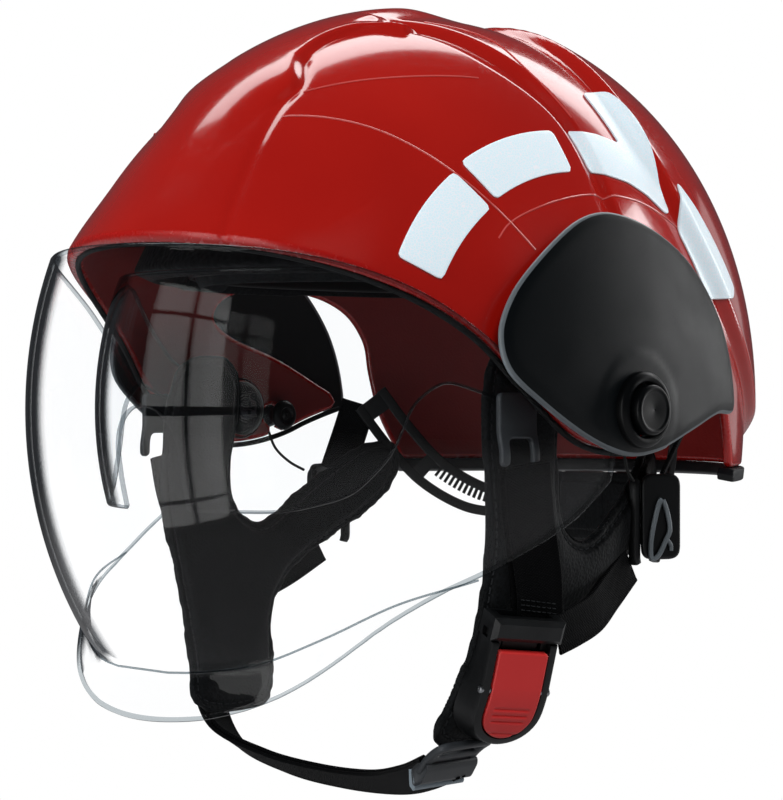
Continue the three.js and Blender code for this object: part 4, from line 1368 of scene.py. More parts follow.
def ratchet_wheel():
    """The wheel a wearer turns: ribbed for grip, with a dished face."""
    ribs, steps = WHEEL["ribs"], 8
    ring = []
    for k in range(ribs * steps):
        turn = 2 * pi * k / (ribs * steps)
        radius = WHEEL["radius"] - 0.55 + 0.5 * cos(ribs * turn)
        ring.append((radius * cos(turn), radius * sin(turn)))

    def dish(spots):
        radius = np.hypot(spots[:, 0], spots[:, 1])
        return -0.9 * smooth_step(7.6, 6.4, radius)

    points, faces = plate(ring, thickness=WHEEL["depth"], radius=0.8, spacing=0.6)
    top = points[:, 2] > 0
    points[top, 2] += dish(points[top])
    turn = frame_matrix((0, 124.1, NAPE["z"]), (-1, 0, 0), (0, 0, 1))
    piece = make("ratchet_knob", points, faces, LOOKS["knob"], place=turn, body="ratchet")
    finish_piece(piece, "knob_black", "ratchet_wheel")


def racks():
    """Straight toothed bars that the wheel draws together, one above and one below it."""
    for side, sign in SIDES.items():
        inner, outer, half = RACK["inner"], RACK["outer"], RACK["height"] / 2
        teeth = []
        u = inner + 1
        while u < outer - 8:
            teeth += [(u, -half), (u + RACK["pitch"] / 2, -half + 1.3)]
            u += RACK["pitch"]
        outline = [(inner, half), (inner, -half)] + teeth + [(outer, -half), (outer, half)]
        points, faces = plate(outline[::-1], thickness=RACK["thickness"], radius=0.3, spacing=0.6)
        middle = NAPE["z"] + sign * WHEEL["radius"] * 0.62
        points = np.stack([points[:, 0], RACK["y"] + points[:, 2], middle + sign * points[:, 1]], 1)
        if sign > 0:
            faces = [tuple(reversed(f)) for f in faces]
        piece = make(f"{side}_rack_bar", points, faces, LOOKS["band"], side=sign, body=f"{side}_rack_body")
        finish_piece(piece, "band_plastic", f"{side}_rack")


def strap_section(width, thickness, corner=None):
    return rounded([(-width / 2, -thickness / 2), (width / 2, -thickness / 2), (width / 2, thickness / 2),
                    (-width / 2, thickness / 2)], corner or thickness * 0.48, 4)


def across_of(yaw, tip):
    vector = Vector((sin(radians(yaw)), cos(radians(yaw)), np.tan(radians(tip))))
    return tuple(vector.normalized())


def band_arms():
    """Slotted plastic arms from the headband down to the racks."""
    across = across_of(-40, 40)
    path = evenly(spline(BAND_ARM, 12), 70)
    parts = []
    for offset in (-6.2, 6.2):
        parts.append(swept(path + np.array(across) * offset, strap_section(4.2, 2.0, 0.5), across)[:2])
    for start, end in ((0, 8), (30, 36), (61, 70)):
        parts.append(swept(path[start:end], strap_section(13.5, 1.9, 0.5), across)[:2])
    for k in range(37, 60, 2):
        points, faces, _ = swept(path[k:k + 2], strap_section(5.4, 1.8, 0.3), across)
        parts.append((points + np.array(across) * 2.4, faces))
    for side, sign in SIDES.items():
        piece = make(f"{side}_arm", *join(*parts), LOOKS["band"], side=sign, body=None)
        start, end = [tuple(np.array(BAND_ARM[k]) * (sign, 1, 1) * MM) for k in (0, -1)]
        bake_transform(piece)
        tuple(start)
        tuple(end)
        finish_piece(piece, "band_plastic", f"{side}_band_arm")


NAPE_PAD = {"width": 68, "height": 28, "corner": 9, "y": 107, "channel": 12, "seam": 3.2}


def nape_pad():
    """The cushion in front of the ratchet, sewn round its edge and across in two channels."""
    size = NAPE_PAD
    outline = box_outline(size["width"], size["height"], size["corner"], (0, 1))
    edge = inside(outline, (0, 1))

    def puff(spots, face):
        channels = bell(np.abs(spots[:, 0]) - NAPE_PAD["channel"], 1.2)
        rise = smooth_step(0, 5, edge(spots)) * (1 - 0.5 * channels)
        rise = rise * (1 - 0.6 * bell(edge(spots) - NAPE_PAD["seam"], 0.7))
        return np.stack([spots[:, 0], spots[:, 1], face * (1.0 + 1.9 * rise)], 1)

    grid = plane_grid(outline.min(0) - 1, outline.max(0) + 1, 0.9)
    sheet = flat_trim(grid, lambda s: edge(s) - 1.0)
    points, faces, _ = thick(sheet, lambda s: puff(s, 1), lambda s: puff(s, -1))
    turn = frame_matrix((0, size["y"], NAPE["z"]), (-1, 0, 0), (0, 0, 1))
    pad = make("nape_cushion", points, faces, LOOKS["leather"], place=turn)
    finish_piece(pad, "pad_leather", "nape_pad")


# ---------------------------------------------------------------- cheek pads

PAD = {"thickness": 7.0, "curl": 21, "rear_y": 66, "cap": 1.6, "seam": 6.0}
PAD_OUTLINE = [(-34, 24), (-18, 24), (-8, 14), (-7, -5), (-9, -28), (-6, -40), (2, -45), (11, -41),
               (38, -21), (52, -12), (64, -11), (69, -20), (66, -36), (54, -48), (40, -57), (16, -72),
               (4, -86), (-2, -104), (-8, -118), (-18, -123), (-44, -123), (-54, -116), (-51, -100),
               (-49, -80), (-50, -50), (-52, -20), (-50, 5), (-44, 20)]
PAD_FACE = [(83.5, 30), (87.5, 2), (91.5, -38), (87, -62), (78, -88), (64.5, -118), (61, -130)]


def pad_middle(y, z):
    """How far out the middle of the left cheek pad is at a place seen from the side."""
    face = spline(PAD_FACE, 8, power=0)[::-1]
    return np.interp(z, face[:, 1], face[:, 0]) - PAD["curl"] * (np.maximum(y, 0) / PAD["rear_y"]) ** 2


def pad_place(height):
    def place(spots):
        y, z = spots[:, 0], spots[:, 1]
        return np.stack([pad_middle(y, z) + height, y, z], 1)
    return place


CLOTH = {"voxel": 3.0, "pressure": 4.0, "frames": 20, "tension": 25, "shear": 15, "bending": 4}
SMOOTHING_PASSES = 7


def swell(points, faces):
    """The shape after Blender's cloth has filled it with air, held within the pad's cap."""
    blank = link("blank", points, faces)
    remesh = blank.modifiers.new("remesh", "REMESH")
    remesh.mode = "VOXEL"
    remesh.voxel_size = CLOTH["voxel"] * MM
    mesh = evaluated(blank)
    blank.modifiers.clear()
    blank.data = mesh
    rest = corners_of(mesh)
    cloth = blank.modifiers.new("cloth", "CLOTH")
    settings = cloth.settings
    settings.use_pressure = True
    settings.uniform_pressure_force = CLOTH["pressure"]
    settings.tension_stiffness = CLOTH["tension"]
    settings.shear_stiffness = CLOTH["shear"]
    settings.bending_stiffness = CLOTH["bending"]
    settings.effector_weights.gravity = 0
    scene = bpy.context.scene
    for frame_number in range(1, CLOTH["frames"] + 1):
        scene.frame_set(frame_number)
    shift = corners_of(evaluated(blank)) - rest
    scene.frame_set(1)
    length = np.linalg.norm(shift, axis=1)
    shift *= np.minimum(1, PAD["cap"] * MM / np.maximum(length, 1e-9))[:, None]
    rest = rest + shift
    faces = faces_of(mesh)
    bpy.data.objects.remove(blank)
    return rest / MM, faces


def smoothed(points, faces, levels):
    """The shape evened out and then subdivided, as plain points and faces."""
    obj = link("fine", points, faces)
    even_out = obj.modifiers.new("even_out", "SMOOTH")
    even_out.factor = 0.5
    even_out.iterations = SMOOTHING_PASSES
    subdivide = obj.modifiers.new("subdivide", "SUBSURF")
    subdivide.levels = levels
    fine = evaluated(obj)
    bpy.data.objects.remove(obj)
    return corners_of(fine) / MM, faces_of(fine)


def stitches(path, lift, pitch=3.4, length=2.3, radius=0.28):
    """Short sewn stitches along a path, each a thin bar that stands a little out of the surface."""
    total = np.linalg.norm(np.diff(path, axis=0), axis=1).sum()
    count = max(int(total / pitch), 2)
    spots = evenly(path, count * 2 + 1)
    ring = circle(radius, 6)
    parts = []
    lift = np.broadcast_to(np.asarray(lift, float), spots.shape)
    for k in range(0, len(spots) - 2, 2):
        a, b = spots[k], spots[k + 1]
        middle = (a + b) / 2
        half = (b - a) / max(np.linalg.norm(b - a), 1e-6) * length / 2
        up = lift[k]
        rows = [middle - half - up * radius * 1.4, middle - half * 0.8 + up * 0.1, middle + up * radius * 0.5,
                middle + half * 0.8 + up * 0.1, middle + half - up * radius * 1.4]
        parts.append(swept(rows, ring, up)[:2])
    return join(*parts)


def cheek_pads():
    """Padded side pieces: filled by cloth simulation, with a sewn groove along the edge on both faces."""
    outline = evenly(spline(PAD_OUTLINE, 4, closed=True), 160)
    edge = inside(outline, (0, 1))
    half = PAD["thickness"] / 2
    grid = plane_grid(outline.min(0) - 2, outline.max(0) + 2, 2.4)
    sheet = flat_trim(grid, lambda s: edge(s) - half - 1.0)
    points, faces, _ = thick(sheet, pad_place(half - 0.4), pad_place(-half + 0.4))
    points, faces = swell(points, faces)
    points, faces = smoothed(points, faces, fineness(2))
    seam = PAD["seam"]
    depth = inside(outline)(points)
    side_of = np.sign(points[:, 0] - pad_middle(points[:, 1], points[:, 2]))
    groove = 1.3 * bell(depth - seam, 1.1) + 0.5 * smooth_step(seam, 2.5, depth)
    points[:, 0] -= side_of * groove
    line = outline_inset(outline, seam)
    for side, sign in SIDES.items():
        pad = make(f"{side}_cheek_cushion", points, faces, LOOKS["leather"], side=sign)
        finish_piece(pad, "pad_leather", f"{side}_cheek_pad")
        for name, face in (("outer", 1), ("inner", -1)):
            thread = on_face(points, faces, line, face)
            dashes = stitches(np.concatenate([thread, thread[:1]]), (face, 0, 0))
            sewn = make(f"{side}_pad_stitch_{name}", *dashes, LOOKS["stitch"], side=sign)
            finish_piece(sewn, "pad_leather")


def on_face(points, faces, spots, face):
    """The places on a piece's outer (1) or inner (-1) face over the (y, z) spots."""
    tree = BVHTree.FromPolygons([tuple(p) for p in points], faces)
    found = []
    for y, z in spots[:, :2]:
        hit = tree.ray_cast(Vector((face * FAR, y, z)), Vector((-face, 0, 0)))[0]
        if hit is not None:
            found.append(tuple(hit + Vector((0.1 * face, 0, 0))))
    return np.array(found)


def outline_inset(outline, distance):
    """A closed outline moved inwards by a distance, as evenly spaced points."""
    turns = np.roll(outline, -1, axis=0) - np.roll(outline, 1, axis=0)
    normal = np.stack([-turns[:, 1], turns[:, 0]], 1) / np.linalg.norm(turns, axis=1)[:, None]
    area = np.sum(outline[:, 0] * np.roll(outline[:, 1], -1) - np.roll(outline[:, 0], -1) * outline[:, 1])
    inner = outline + normal * distance * np.sign(area)
    keep = distance_to(inner, outline, closed=True) > distance * 0.93
    return evenly(inner[keep], 200)


# ---------------------------------------------------------------- webbing

FRONT_STRAP = [(100.5, -39, -19), (99.6, -36.5, -34), (98.2, -33, -46), (96, -28, -60), (94, -25, -73)]
UPPER_REAR_STRAP = [(93.5, 64, 2), (92, 58, -9), (89.5, 47.5, -27)]
REAR_STRAP = [(86.5, 33, -58), (90, 18, -67), (93.8, 5, -73.5), (95.2, -8, -77.5), (95.0, -17, -80)]
CHIN_STRAP = [(-92.6, -25, -75), (-87.5, -28, -98), (-79.5, -33, -114), (-62, -37, -130), (-38, -31, -139),
              (-12, -25, -142.5), (16, -24, -141.5), (40, -31, -136), (60, -38.5, -129)]
SELVEDGE = 1.6


def web_section(width, thickness):
    """Flat webbing with a thinner woven field between two round selvedges."""
    half, edge = width / 2, SELVEDGE
    rise = [half, half - edge * 0.25, half - edge * 0.7]
    flat = np.linspace(-half + edge, half - edge, 7)
    across = np.concatenate([np.negative(rise), flat, rise[::-1]])
    tall = np.where(np.abs(across) > half - edge * 0.9, 1.0, 0.82) * thickness / 2
    tall[[0, -1]] = thickness * 0.2
    top = np.stack([across, tall], 1)
    return np.concatenate([top[::-1] * (1, -1), top])[::-1]


def web(path, across, width, thickness, count=60, shift=(0, 0)):
    """A length of webbing as (points, faces, uvs); shift moves it (across, outward) from the path."""
    line = evenly(spline(path, 14), count)
    tangent = np.gradient(line, axis=0)
    out = np.cross(tangent, across)
    out /= np.linalg.norm(out, axis=1)[:, None]
    line = line + np.array(across) * shift[0] + out * shift[1]
    return swept(line, web_section(width, thickness), across)


def webbing_piece(name, parts, **options):
    uvs = [corners for part in parts for corners in part[2]]
    return make(name, *join(*[part[:2] for part in parts]), LOOKS["webbing"], uvs=uvs, **options)


def cross_stitch_rows(centre, across, along, out, width, rows):
    """Rows of short stitches over the webbing's width."""
    parts = []
    for step in rows:
        middle = np.array(centre) + np.array(along) * step
        ends = [middle + np.array(across) * reach for reach in (-width / 2, width / 2)]
        parts.append(stitches(np.array(ends), out, pitch=1.9, length=1.3, radius=0.22))
    return join(*parts)


def straps():
    """The sewn webbing on each side: front strap, upper and lower rear straps."""
    front = across_of(17, -8)
    for side, sign in SIDES.items():
        line = np.array(FRONT_STRAP, float)
        parts = [web(line, front, 18, 1.4, shift=(0.5, 0.9)), web(line, front, 18, 1.4, shift=(-0.9, -0.9))]
        piece = webbing_piece(f"{side}_front_web", parts, side=sign)
        finish_piece(piece, "webbing", f"{side}_front_strap")
        along = line[-1] - line[-2]
        along /= np.linalg.norm(along)
        out = np.cross(along, front)
        out /= np.linalg.norm(out)
        rows = cross_stitch_rows(line[-1] + out * 1.65, front, along, out, 15, (-2.2, -4.1, -6.0))
        finish_piece(make(f"{side}_front_web_stitch", *rows, LOOKS["stitch"], side=sign), "webbing")
        layers = [web(UPPER_REAR_STRAP, across_of(-30, 12), 15, 1.5, 30)]
        upper = webbing_piece(f"{side}_upper_rear_web", layers, side=sign)
        finish_piece(upper, "webbing", f"{side}_rear_strap_upper")
        rear_across = across_of(0, -65)
        layers = [web(REAR_STRAP, rear_across, 15, 1.4, 40, (0, 0.8)),
                  web(REAR_STRAP[:3], rear_across, 15, 1.4, 30, (0.8, -0.8))]
        rear = webbing_piece(f"{side}_rear_web", layers, side=sign)
        finish_piece(rear, "webbing", f"{side}_rear_strap")


def chin_strap():
    """Two layers of webbing under the chin, fixed at the right and carried by the buckle at the left."""
    across = across_of(0, -32)
    count = 120
    lower = web(CHIN_STRAP, across, 18, 1.5, count, (0, 0.9))
    upper = web(CHIN_STRAP[2:], across, 17, 1.5, count - 30, (-1.6, -0.9))
    piece = webbing_piece("chin_web", [lower, upper], body=None)
    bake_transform(piece)
    finish_piece(piece, "webbing", "chin_strap")


# ---------------------------------------------------------------- strap fittings


def strap_hooks():
    """Flat plastic hooks on the strap studs: an arch with two legs."""
    outer = rounded([(-51, -19.5), (-51, 6), (-32, 6), (-32, -19.5), (-35.2, -19.5), (-35.2, -10), (-47, -10),
                     (-47, -19.5)][::-1], 2.2, 5)
    lean = {"top": 98.9, "foot": 100.4}
    points, faces = plate(outer, thickness=2.6, radius=0.9, spacing=0.7)
    share = smooth_step(-6, -16, points[:, 1])
    out = lean["top"] + (lean["foot"] - lean["top"]) * share
    placed = np.stack([out + points[:, 2], points[:, 0], points[:, 1]], 1)
    both_sides("hook", (placed, faces), LOOKS["grey"], "bracket_grey", "strap_hook")


def tube(path, radius, sides=12, closed=False):
    """A round bar along a smooth path."""
    line = spline(path, 8, closed=closed)
    line = evenly(line, len(line))
    guide = np.cross(line[len(line) // 2] - line[0], line[-1] - line[0] + (0.3, 0.7, 0.1))
    guide = guide / max(np.linalg.norm(guide), 1e-6)
    return swept(line, circle(radius, sides), guide)[:2]


ADJUSTER = {"centre": (88, 41, -42), "yaw": 12, "lever": (-0.8, 2.0, 6.9), "lever_tilt": -35}
LEVER_TOP = 2.2
LOOP = [(-0.6, 6.5), (-3.8, -2.5), (-5.2, -11.5), (-4.6, -15.6), (-2.4, -14.8), (1.0, -9.0), (2.8, -4.6)]
LOOP_TAIL = [(1.6, -8.4, 2.2), (3.2, -10.6, 2.2), (3.4, -12.6, 2.0)]
ADJUSTER_CORD = [(98.5, 16, -10), (97, 18.5, -17), (94, 24, -23), (91.5, 30, -26.5)]


def rear_adjusters():
    """The rear strap's ladder frame, its lever, a wire loop, and the cord that keeps it up."""
    ladder = plate(box_outline(20, 34, 4.5), [box_outline(13.5, 6.4, 1.2, (0, v)) for v in (-11, 0, 11)],
                   thickness=4.2, radius=1.2, spacing=0.7)
    tilt = Matrix.Translation(ADJUSTER["lever"]) @ Matrix.Rotation(radians(ADJUSTER["lever_tilt"]), 4, "Y")
    lever = moved(plate(box_outline(16, 32, 4.5), thickness=2.6, radius=1.0, spacing=0.7), tilt)
    turn = Matrix.Rotation(radians(ADJUSTER["yaw"]), 4, "Z")
    place = frame_matrix(ADJUSTER["centre"], turn @ Vector((0, 1, 0)), (0, 0, 1))
    loop = tube([(u, v, LEVER_TOP) for u, v in LOOP], 0.95, closed=True)
    wire = [moved(moved(part, tilt), place) for part in (loop, tube(LOOP_TAIL, 0.8))]
    black = [moved(part, place) for part in (ladder, lever)]
    cord = tube(ADJUSTER_CORD, 0.6, 8)
    for side, sign in SIDES.items():
        finish_piece(make(f"{side}_ladder", *join(*black), LOOKS["buckle"], side=sign), "buckle_black",
                     f"{side}_rear_adjuster")
        finish_piece(make(f"{side}_ladder_loop", *join(*wire), LOOKS["rim_highlight_and_wire_grey"], side=sign), "bracket_grey")
        finish_piece(make(f"{side}_ladder_cord", *cord, LOOKS["rubber"], side=sign), "edge_rubber")


BUCKLE = {"centre": (86.6, -33.4, -99), "across": (0.3114, 0.9450, -0.1000), "up": (0.3090, -0.0012, 0.9511),
          "half_width": 13.4, "top": 19.75, "shoulder": -5.5, "foot": -20.5, "depth": 13, "rim": 3.1,
          "pocket": 5.7, "bend": 5.2, "lean": 1.4}


def buckle_frame():
    return frame_matrix(BUCKLE["centre"], BUCKLE["across"], BUCKLE["up"])


def u_outline(inset=0.0, top=None):
    """The buckle's outline as (across, up): square at the top and round at the foot, counter-clockwise."""
    half = BUCKLE["half_width"] - inset
    shoulder = BUCKLE["shoulder"]
    drop = BUCKLE["foot"] + inset - shoulder
    top = BUCKLE["top"] - inset if top is None else top
    arc = [(-half * cos(t), shoulder + drop * sin(t) ** 0.92) for t in np.linspace(0.001, pi - 0.001, 24)]
    sides = np.linspace(top, shoulder, 9)[:-1]
    left = [(-half, v) for v in sides]
    right = [(half, v) for v in sides[::-1]]
    return np.array(left + arc + right)


def buckle_bend(v):
    """How far the buckle's face falls back below its pin and, a little, above it."""
    return -BUCKLE["bend"] * (np.maximum(1 - v, 0) / 21.5) ** 1.7 - BUCKLE["lean"] * np.maximum(v - 3, 0) / 17


def loft(rings):
    """A closed solid through rings of equally many points."""
    count = len(rings[0])
    faces = [tuple(reversed(range(count)))]
    for i in range(len(rings) - 1):
        for k in range(count):
            m = (k + 1) % count
            faces.append((i * count + k, i * count + m, (i + 1) * count + m, (i + 1) * count + k))
    faces.append(tuple(range((len(rings) - 1) * count, len(rings) * count)))
    return np.concatenate(rings), faces


def carve(part, *cutters):
    """A solid less other solids."""
    solids = (part,) + cutters
    made = [link(f"carve{number}", points / MM, faces) for number, (points, faces) in enumerate(solids)]
    for cutter in made[1:]:
        cut = made[0].modifiers.new("cut", "BOOLEAN")
        cut.operation = "DIFFERENCE"
        cut.solver = "EXACT"
        cut.object = cutter
    mesh = evaluated(made[0])
    for obj in made:
        bpy.data.objects.remove(obj)
    return corners_of(mesh), faces_of(mesh)


def block(low, high):
    """A plain box between two corners."""
    (a, b, c), (d, e, f) = low, high
    points = [(a, b, c), (d, b, c), (d, e, c), (a, e, c), (a, b, f), (d, b, f), (d, e, f), (a, e, f)]
    faces = [(3, 2, 1, 0), (4, 5, 6, 7), (0, 1, 5, 4), (1, 2, 6, 5), (2, 3, 7, 6), (3, 0, 4, 7)]
    return np.array(points, float), faces


def chamfered_box(low, high, chamfer):
    """A box with bevelled edges, as (across, up, out)."""
    (a, b, c), (d, e, f) = low, high
    rings = []
    for inset, out in ((chamfer, c), (0, c + chamfer), (0, f - chamfer), (chamfer, f)):
        left, right, foot, head = a + inset, d - inset, b + inset, e - inset
        rings.append(np.array([(left, foot, out), (right, foot, out), (right, head, out), (left, head, out)]))
    return loft(rings)


PIN = {"up": 2, "out": 4.9}


def buckle():
    """The buckle's hollow case with its mouth for the tang, and the pin across it."""
    half = BUCKLE["depth"] / 2

    def ring(inset, out, flare=0.0, follow=1.0):
        outline = u_outline(inset)
        low = smooth_step(16, -8, outline[:, 1])
        wide = 1 + flare * low / BUCKLE["half_width"]
        return np.stack([outline[:, 0] * wide, outline[:, 1] - flare * 0.5 * low * (outline[:, 1] < 0),
                         out + follow * buckle_bend(outline[:, 1])], 1)

    rim = BUCKLE["rim"]
    rings = [ring(2.0, -half, 3.0, 0), ring(0.4, -half + 0.4, 3.2, 0), ring(0, -half + 1.6, 3.2, 0.1),
             ring(0, -half * 0.3, 2.0, 0.4), ring(0, half - 2.6, 0.2, 0.9), ring(0, half - 1.0),
             ring(0.3, half - 0.3), ring(0.9, half), ring(rim - 0.3, half), ring(rim, half - 0.3),
             ring(rim, half - BUCKLE["pocket"])]
    body = loft(rings)
    mouth = block((-8, 2, -2), (8, 30, 2))
    shoulder_cut = block((-BUCKLE["half_width"] + rim, 15, 2), (BUCKLE["half_width"] - rim, 24, 9))
    body = carve(body, mouth, shoulder_cut)
    place = buckle_frame()
    case = make("clasp_body", *body, LOOKS["buckle"], place=place, body="buckle", angle=32)
    finish_piece(case, "buckle_black", "buckle_body")
    pin = lathe([(-14.1, 0.0), (-14.1, 0.9), (-13.7, 1.5), (13.7, 1.5), (14.1, 0.9), (14.1, 0.0)], 20)
    pin = pin[0] + (0, PIN["up"], PIN["out"]), pin[1]
    piece = make("clasp_pin", *pin, LOOKS["steel"], place=place, body="buckle")
    finish_piece(piece, "screw_steel", "buckle_pin")


PLATE = {"clearance": 0.45, "proud": 0.7, "thickness": 3.6, "top": 16.6, "groove": 0.5}
GROOVES = [(-4.6, 7.4), (-7.2, 7.4), (-9.8, 7.0), (-17.0, 5.0), (-14.9, 6.6)]


def press_button():
    """The release plate: flat above its pin, bent below it, with grip grooves."""
    outline = u_outline(BUCKLE["rim"] + PLATE["clearance"], PLATE["top"])

    def shape(spots):
        u, v = spots[:, 0], spots[:, 1]
        fall = buckle_bend(v)
        for level, reach in GROOVES:
            within = smooth_step(reach, reach - 0.8, np.abs(u))
            fall = fall - PLATE["groove"] * bell(v - level, 0.42) * within
        return fall

    middle = BUCKLE["depth"] / 2 + PLATE["proud"] - PLATE["thickness"] / 2
    part = plate(outline, thickness=PLATE["thickness"], radius=0.7, spacing=0.42, bend=shape)
    part = moved(part, Matrix.Translation((0, 0, middle)))
    bore = lathe([(-20, 0.0), (-20, 1.8), (20, 1.8), (20, 0.0)], 24)
    part = carve(part, (bore[0] + (0, PIN["up"], PIN["out"]), bore[1]))
    finish_piece(make("release_plate", *part, LOOKS["button"], place=buckle_frame(), body="press_button"),
                 "buckle_red", "buckle_button")


def tongue():
    """The strap's half of the buckle: a bevelled bar with a slot, over a flat tang."""
    top = BUCKLE["top"] + 0.5
    bar = chamfered_box((-14.2, top, -6.2), (14.2, top + 8.4, 6.6), 1.7)
    slot = block((-10.5, top + 3.4, -3.4), (10.5, top + 12, 1.8))
    notch = block((-16, top - 1, -1.8), (-12.6, top + 3.2, 2.4))
    bar = carve(bar, slot, notch)
    tang = plate(rounded([(-7.2, 2.8), (7.2, 2.8), (7.2, top + 1), (-7.2, top + 1)], 1.6, 4),
                 [box_outline(6.5, 4.0, 1.0, (0, 10))], thickness=2.6, radius=0.5)
    piece = make("clasp_tongue", *join(bar, tang), LOOKS["buckle"], place=buckle_frame(), angle=24)
    finish_piece(piece, "buckle_black", "buckle_tongue")


CHIN_ADJUSTER = {"centre": (66.5, -40, -123), "tilt": 50}
SLIDER_LIP = [(-5.6, -1.6), (-9.8, -1.2), (-12.6, 3.6), (-9.0, 5.4), (-3.0, 3.6), (-1.6, 1.6)]
SLIDER_BAR = [(-10.6, -2.4), (-14.2, 2.4), (-13.8, 5.0), (-12.4, 4.6), (-9.6, -1.0)]


def chin_adjuster():
    """The tail slider under the buckle: a dished frame with a thick thumb lip and a pale bar below it."""
    turn = Matrix.Rotation(radians(CHIN_ADJUSTER["tilt"]), 4, "Y")
    place = frame_matrix(CHIN_ADJUSTER["centre"], (0, 1, 0), turn @ Vector((0, 0, 1)))
    frame = plate(box_outline(26, 19, 4), [box_outline(19.5, 5.0, 1.4, (0, v)) for v in (-4.4, 4.0)],
                  thickness=3.0, radius=1.2, spacing=0.7, bend=lambda spots: 0.02 * spots[:, 1] ** 2)

    def bar(profile, stations):
        """A profile carried across the slider, at a size for each station."""
        centre = profile.mean(0)
        return loft([np.stack([np.full(len(profile), u), *(centre + (profile - centre) * size).T], 1)
                     for u, size in stations])

    under = bar(rounded(SLIDER_BAR, 0.5, 3), ((-12.6, 1.0), (12.6, 1.0)))
    lip = bar(rounded(SLIDER_LIP, 1.1, 4), ((-12.2, 0.8), (-12.9, 1.0), (12.9, 1.0), (12.2, 0.8)))
    slider = make("tail_slider", *join(frame, lip), LOOKS["grey"], place=place, body="buckle")
    finish_piece(slider, "bracket_grey", "chin_strap_adjuster")
    finish_piece(make("tail_slider_bar", *under, LOOKS["pale"], place=place, body="buckle"), "bracket_grey")


# ---------------------------------------------------------------- everything in order

build_shell()
shell_beads()
mould_lines()
rear_rim()
reflective_strips()
side_covers()
pivots()
screws()
studs()
face_shield()
eye_shield()
liner()
headband()
brow_pad()
crown_pad()
nape_housing()
ratchet_wheel()
racks()
band_arms()
nape_pad()
cheek_pads()
straps()
chin_strap()
strap_hooks()
rear_adjusters()
buckle()
press_button()
tongue()
chin_adjuster()

# ---------------------------------------------------------------- camera, light and floor

CAMERA = {"azimuth": 46, "distance": 886, "side": -4.5, "height": 3.5, "lens": 102.06}
WORLD_GREY = (0.050, 0.053, 0.058)
FLOOR = {"reach": 4000, "z": -420}
AIM = (0, 0, 0.05)
STRIP_LEAN = 27
PANE_POWER = 7.0


def set_camera():
    """The photograph's view: level, from the front left."""
    turn = radians(CAMERA["azimuth"])
    ahead = Vector((-sin(turn), cos(turn), 0))
    right = Vector((cos(turn), sin(turn), 0))
    data = bpy.data.cameras.new("camera")
    data.lens = CAMERA["lens"]
    data.sensor_width = 36
    data.clip_end = 50
    camera = bpy.data.objects.new("camera", data)
    bpy.context.scene.collection.objects.link(camera)
    spot = -ahead * CAMERA["distance"] + right * CAMERA["side"]
    camera.location = (spot + Vector((0, 0, CAMERA["height"]))) * MM
    camera.rotation_euler = (pi / 2, 0, turn)
    bpy.context.scene.camera = camera


def softbox(name, place, target, size, power):
    """A soft rectangular light; its place and size are in metres and its power in watts."""
    data = bpy.data.lights.new(name, "AREA")
    data.shape = "RECTANGLE"
    data.size, data.size_y = size
    data.energy = power
    lamp = bpy.data.objects.new(name, data)
    bpy.context.scene.collection.objects.link(lamp)
    lamp.location = place
    lamp.rotation_euler = (Vector(target) - Vector(place)).to_track_quat("-Z", "Y").to_euler()
    lamp.visible_camera = False
    return lamp


def set_world():
    """A white surround for the eye and a grey one for light and reflections."""
    world = bpy.data.worlds.new("studio")
    bpy.context.scene.world = world
    world.use_nodes = True
    tree = world.node_tree
    base = tree.nodes["Background"]
    base.inputs["Color"].default_value = (*WORLD_GREY, 1)
    seen = tree.nodes.new("ShaderNodeBackground")
    seen.inputs["Color"].default_value = (1, 1, 1, 1)
    path = tree.nodes.new("ShaderNodeLightPath")
    both = tree.nodes.new("ShaderNodeMixShader")
    tree.links.new(path.outputs["Is Camera Ray"], both.inputs[0])
    tree.links.new(base.outputs[0], both.inputs[1])
    tree.links.new(seen.outputs[0], both.inputs[2])
    tree.links.new(both.outputs[0], tree.nodes["World Output"].inputs["Surface"])


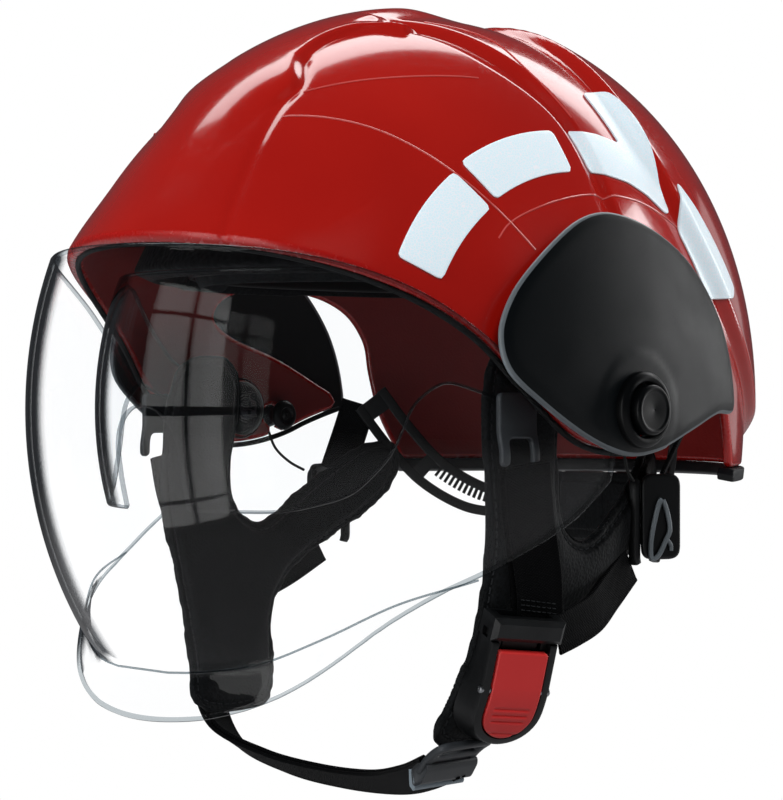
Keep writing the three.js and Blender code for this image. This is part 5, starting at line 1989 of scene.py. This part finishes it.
def set_floor():
    """A white floor that runs into the white surround."""
    white = Paint("floor_pale", (0.40, 0.40, 0.41), 0.9)
    path = white.node("ShaderNodeLightPath")
    glow = white.node("ShaderNodeEmission")
    both = white.node("ShaderNodeMixShader")
    white.tree.links.new(path.outputs["Is Camera Ray"], both.inputs[0])
    white.tree.links.new(white.shader.outputs[0], both.inputs[1])
    white.tree.links.new(glow.outputs[0], both.inputs[2])
    white.tree.links.new(both.outputs[0], white.tree.nodes["Material Output"].inputs["Surface"])
    reach, z = FLOOR["reach"], FLOOR["z"]
    corners = [(-reach, -reach, z), (reach, -reach, z), (reach, reach, z), (-reach, reach, z)]
    make("floor", corners, [(0, 1, 2, 3)], white.material, body=None)


def set_lights():
    """Soft lights, some of them left out of reflections, and a slanting strip for the long highlight."""
    unseen = [softbox("key", (1.5, -0.9, 1.7), AIM, (1.1, 1.1), 30),
              softbox("front", (-0.7, -2.2, 0.8), AIM, (0.8, 1.6), 34)]
    strip = softbox("strip", (-0.69, 0.90, 1.71), AIM, (3.4, 0.55), 24)
    strip.rotation_euler.rotate_axis("Z", radians(STRIP_LEAN))
    softbox("side", (1.0, 2.35, 0.5), AIM, (0.5, 1.6), 17)
    unseen.append(softbox("fill", (2.0, 1.3, 1.3), AIM, (0.9, 0.9), 15))
    softbox("rear", (0.1, 2.4, 0.3), AIM, (1.4, 0.9), 1.8)
    for lamp in unseen:
        lamp.visible_glossy = False


def window_panes():
    """A small paned window in front, seen only as a reflection in the shields."""
    columns = ((0.02, 0.23), (0.255, 0.18))
    rows = ((0.365, 0.10), (0.155, 0.29), (-0.155, 0.27), (-0.345, 0.08))
    for column, (x, wide) in enumerate(columns):
        for row, (z, tall) in enumerate(rows):
            power = wide * tall * PANE_POWER
            pane = softbox(f"pane_{column}_{row}", (x, -0.8, z), (x, 0, z), (wide, tall), power)
            pane.visible_diffuse = False


set_camera()
set_world()
set_floor()
set_lights()
window_panes()
bpy.context.scene.view_settings.view_transform = "Standard"
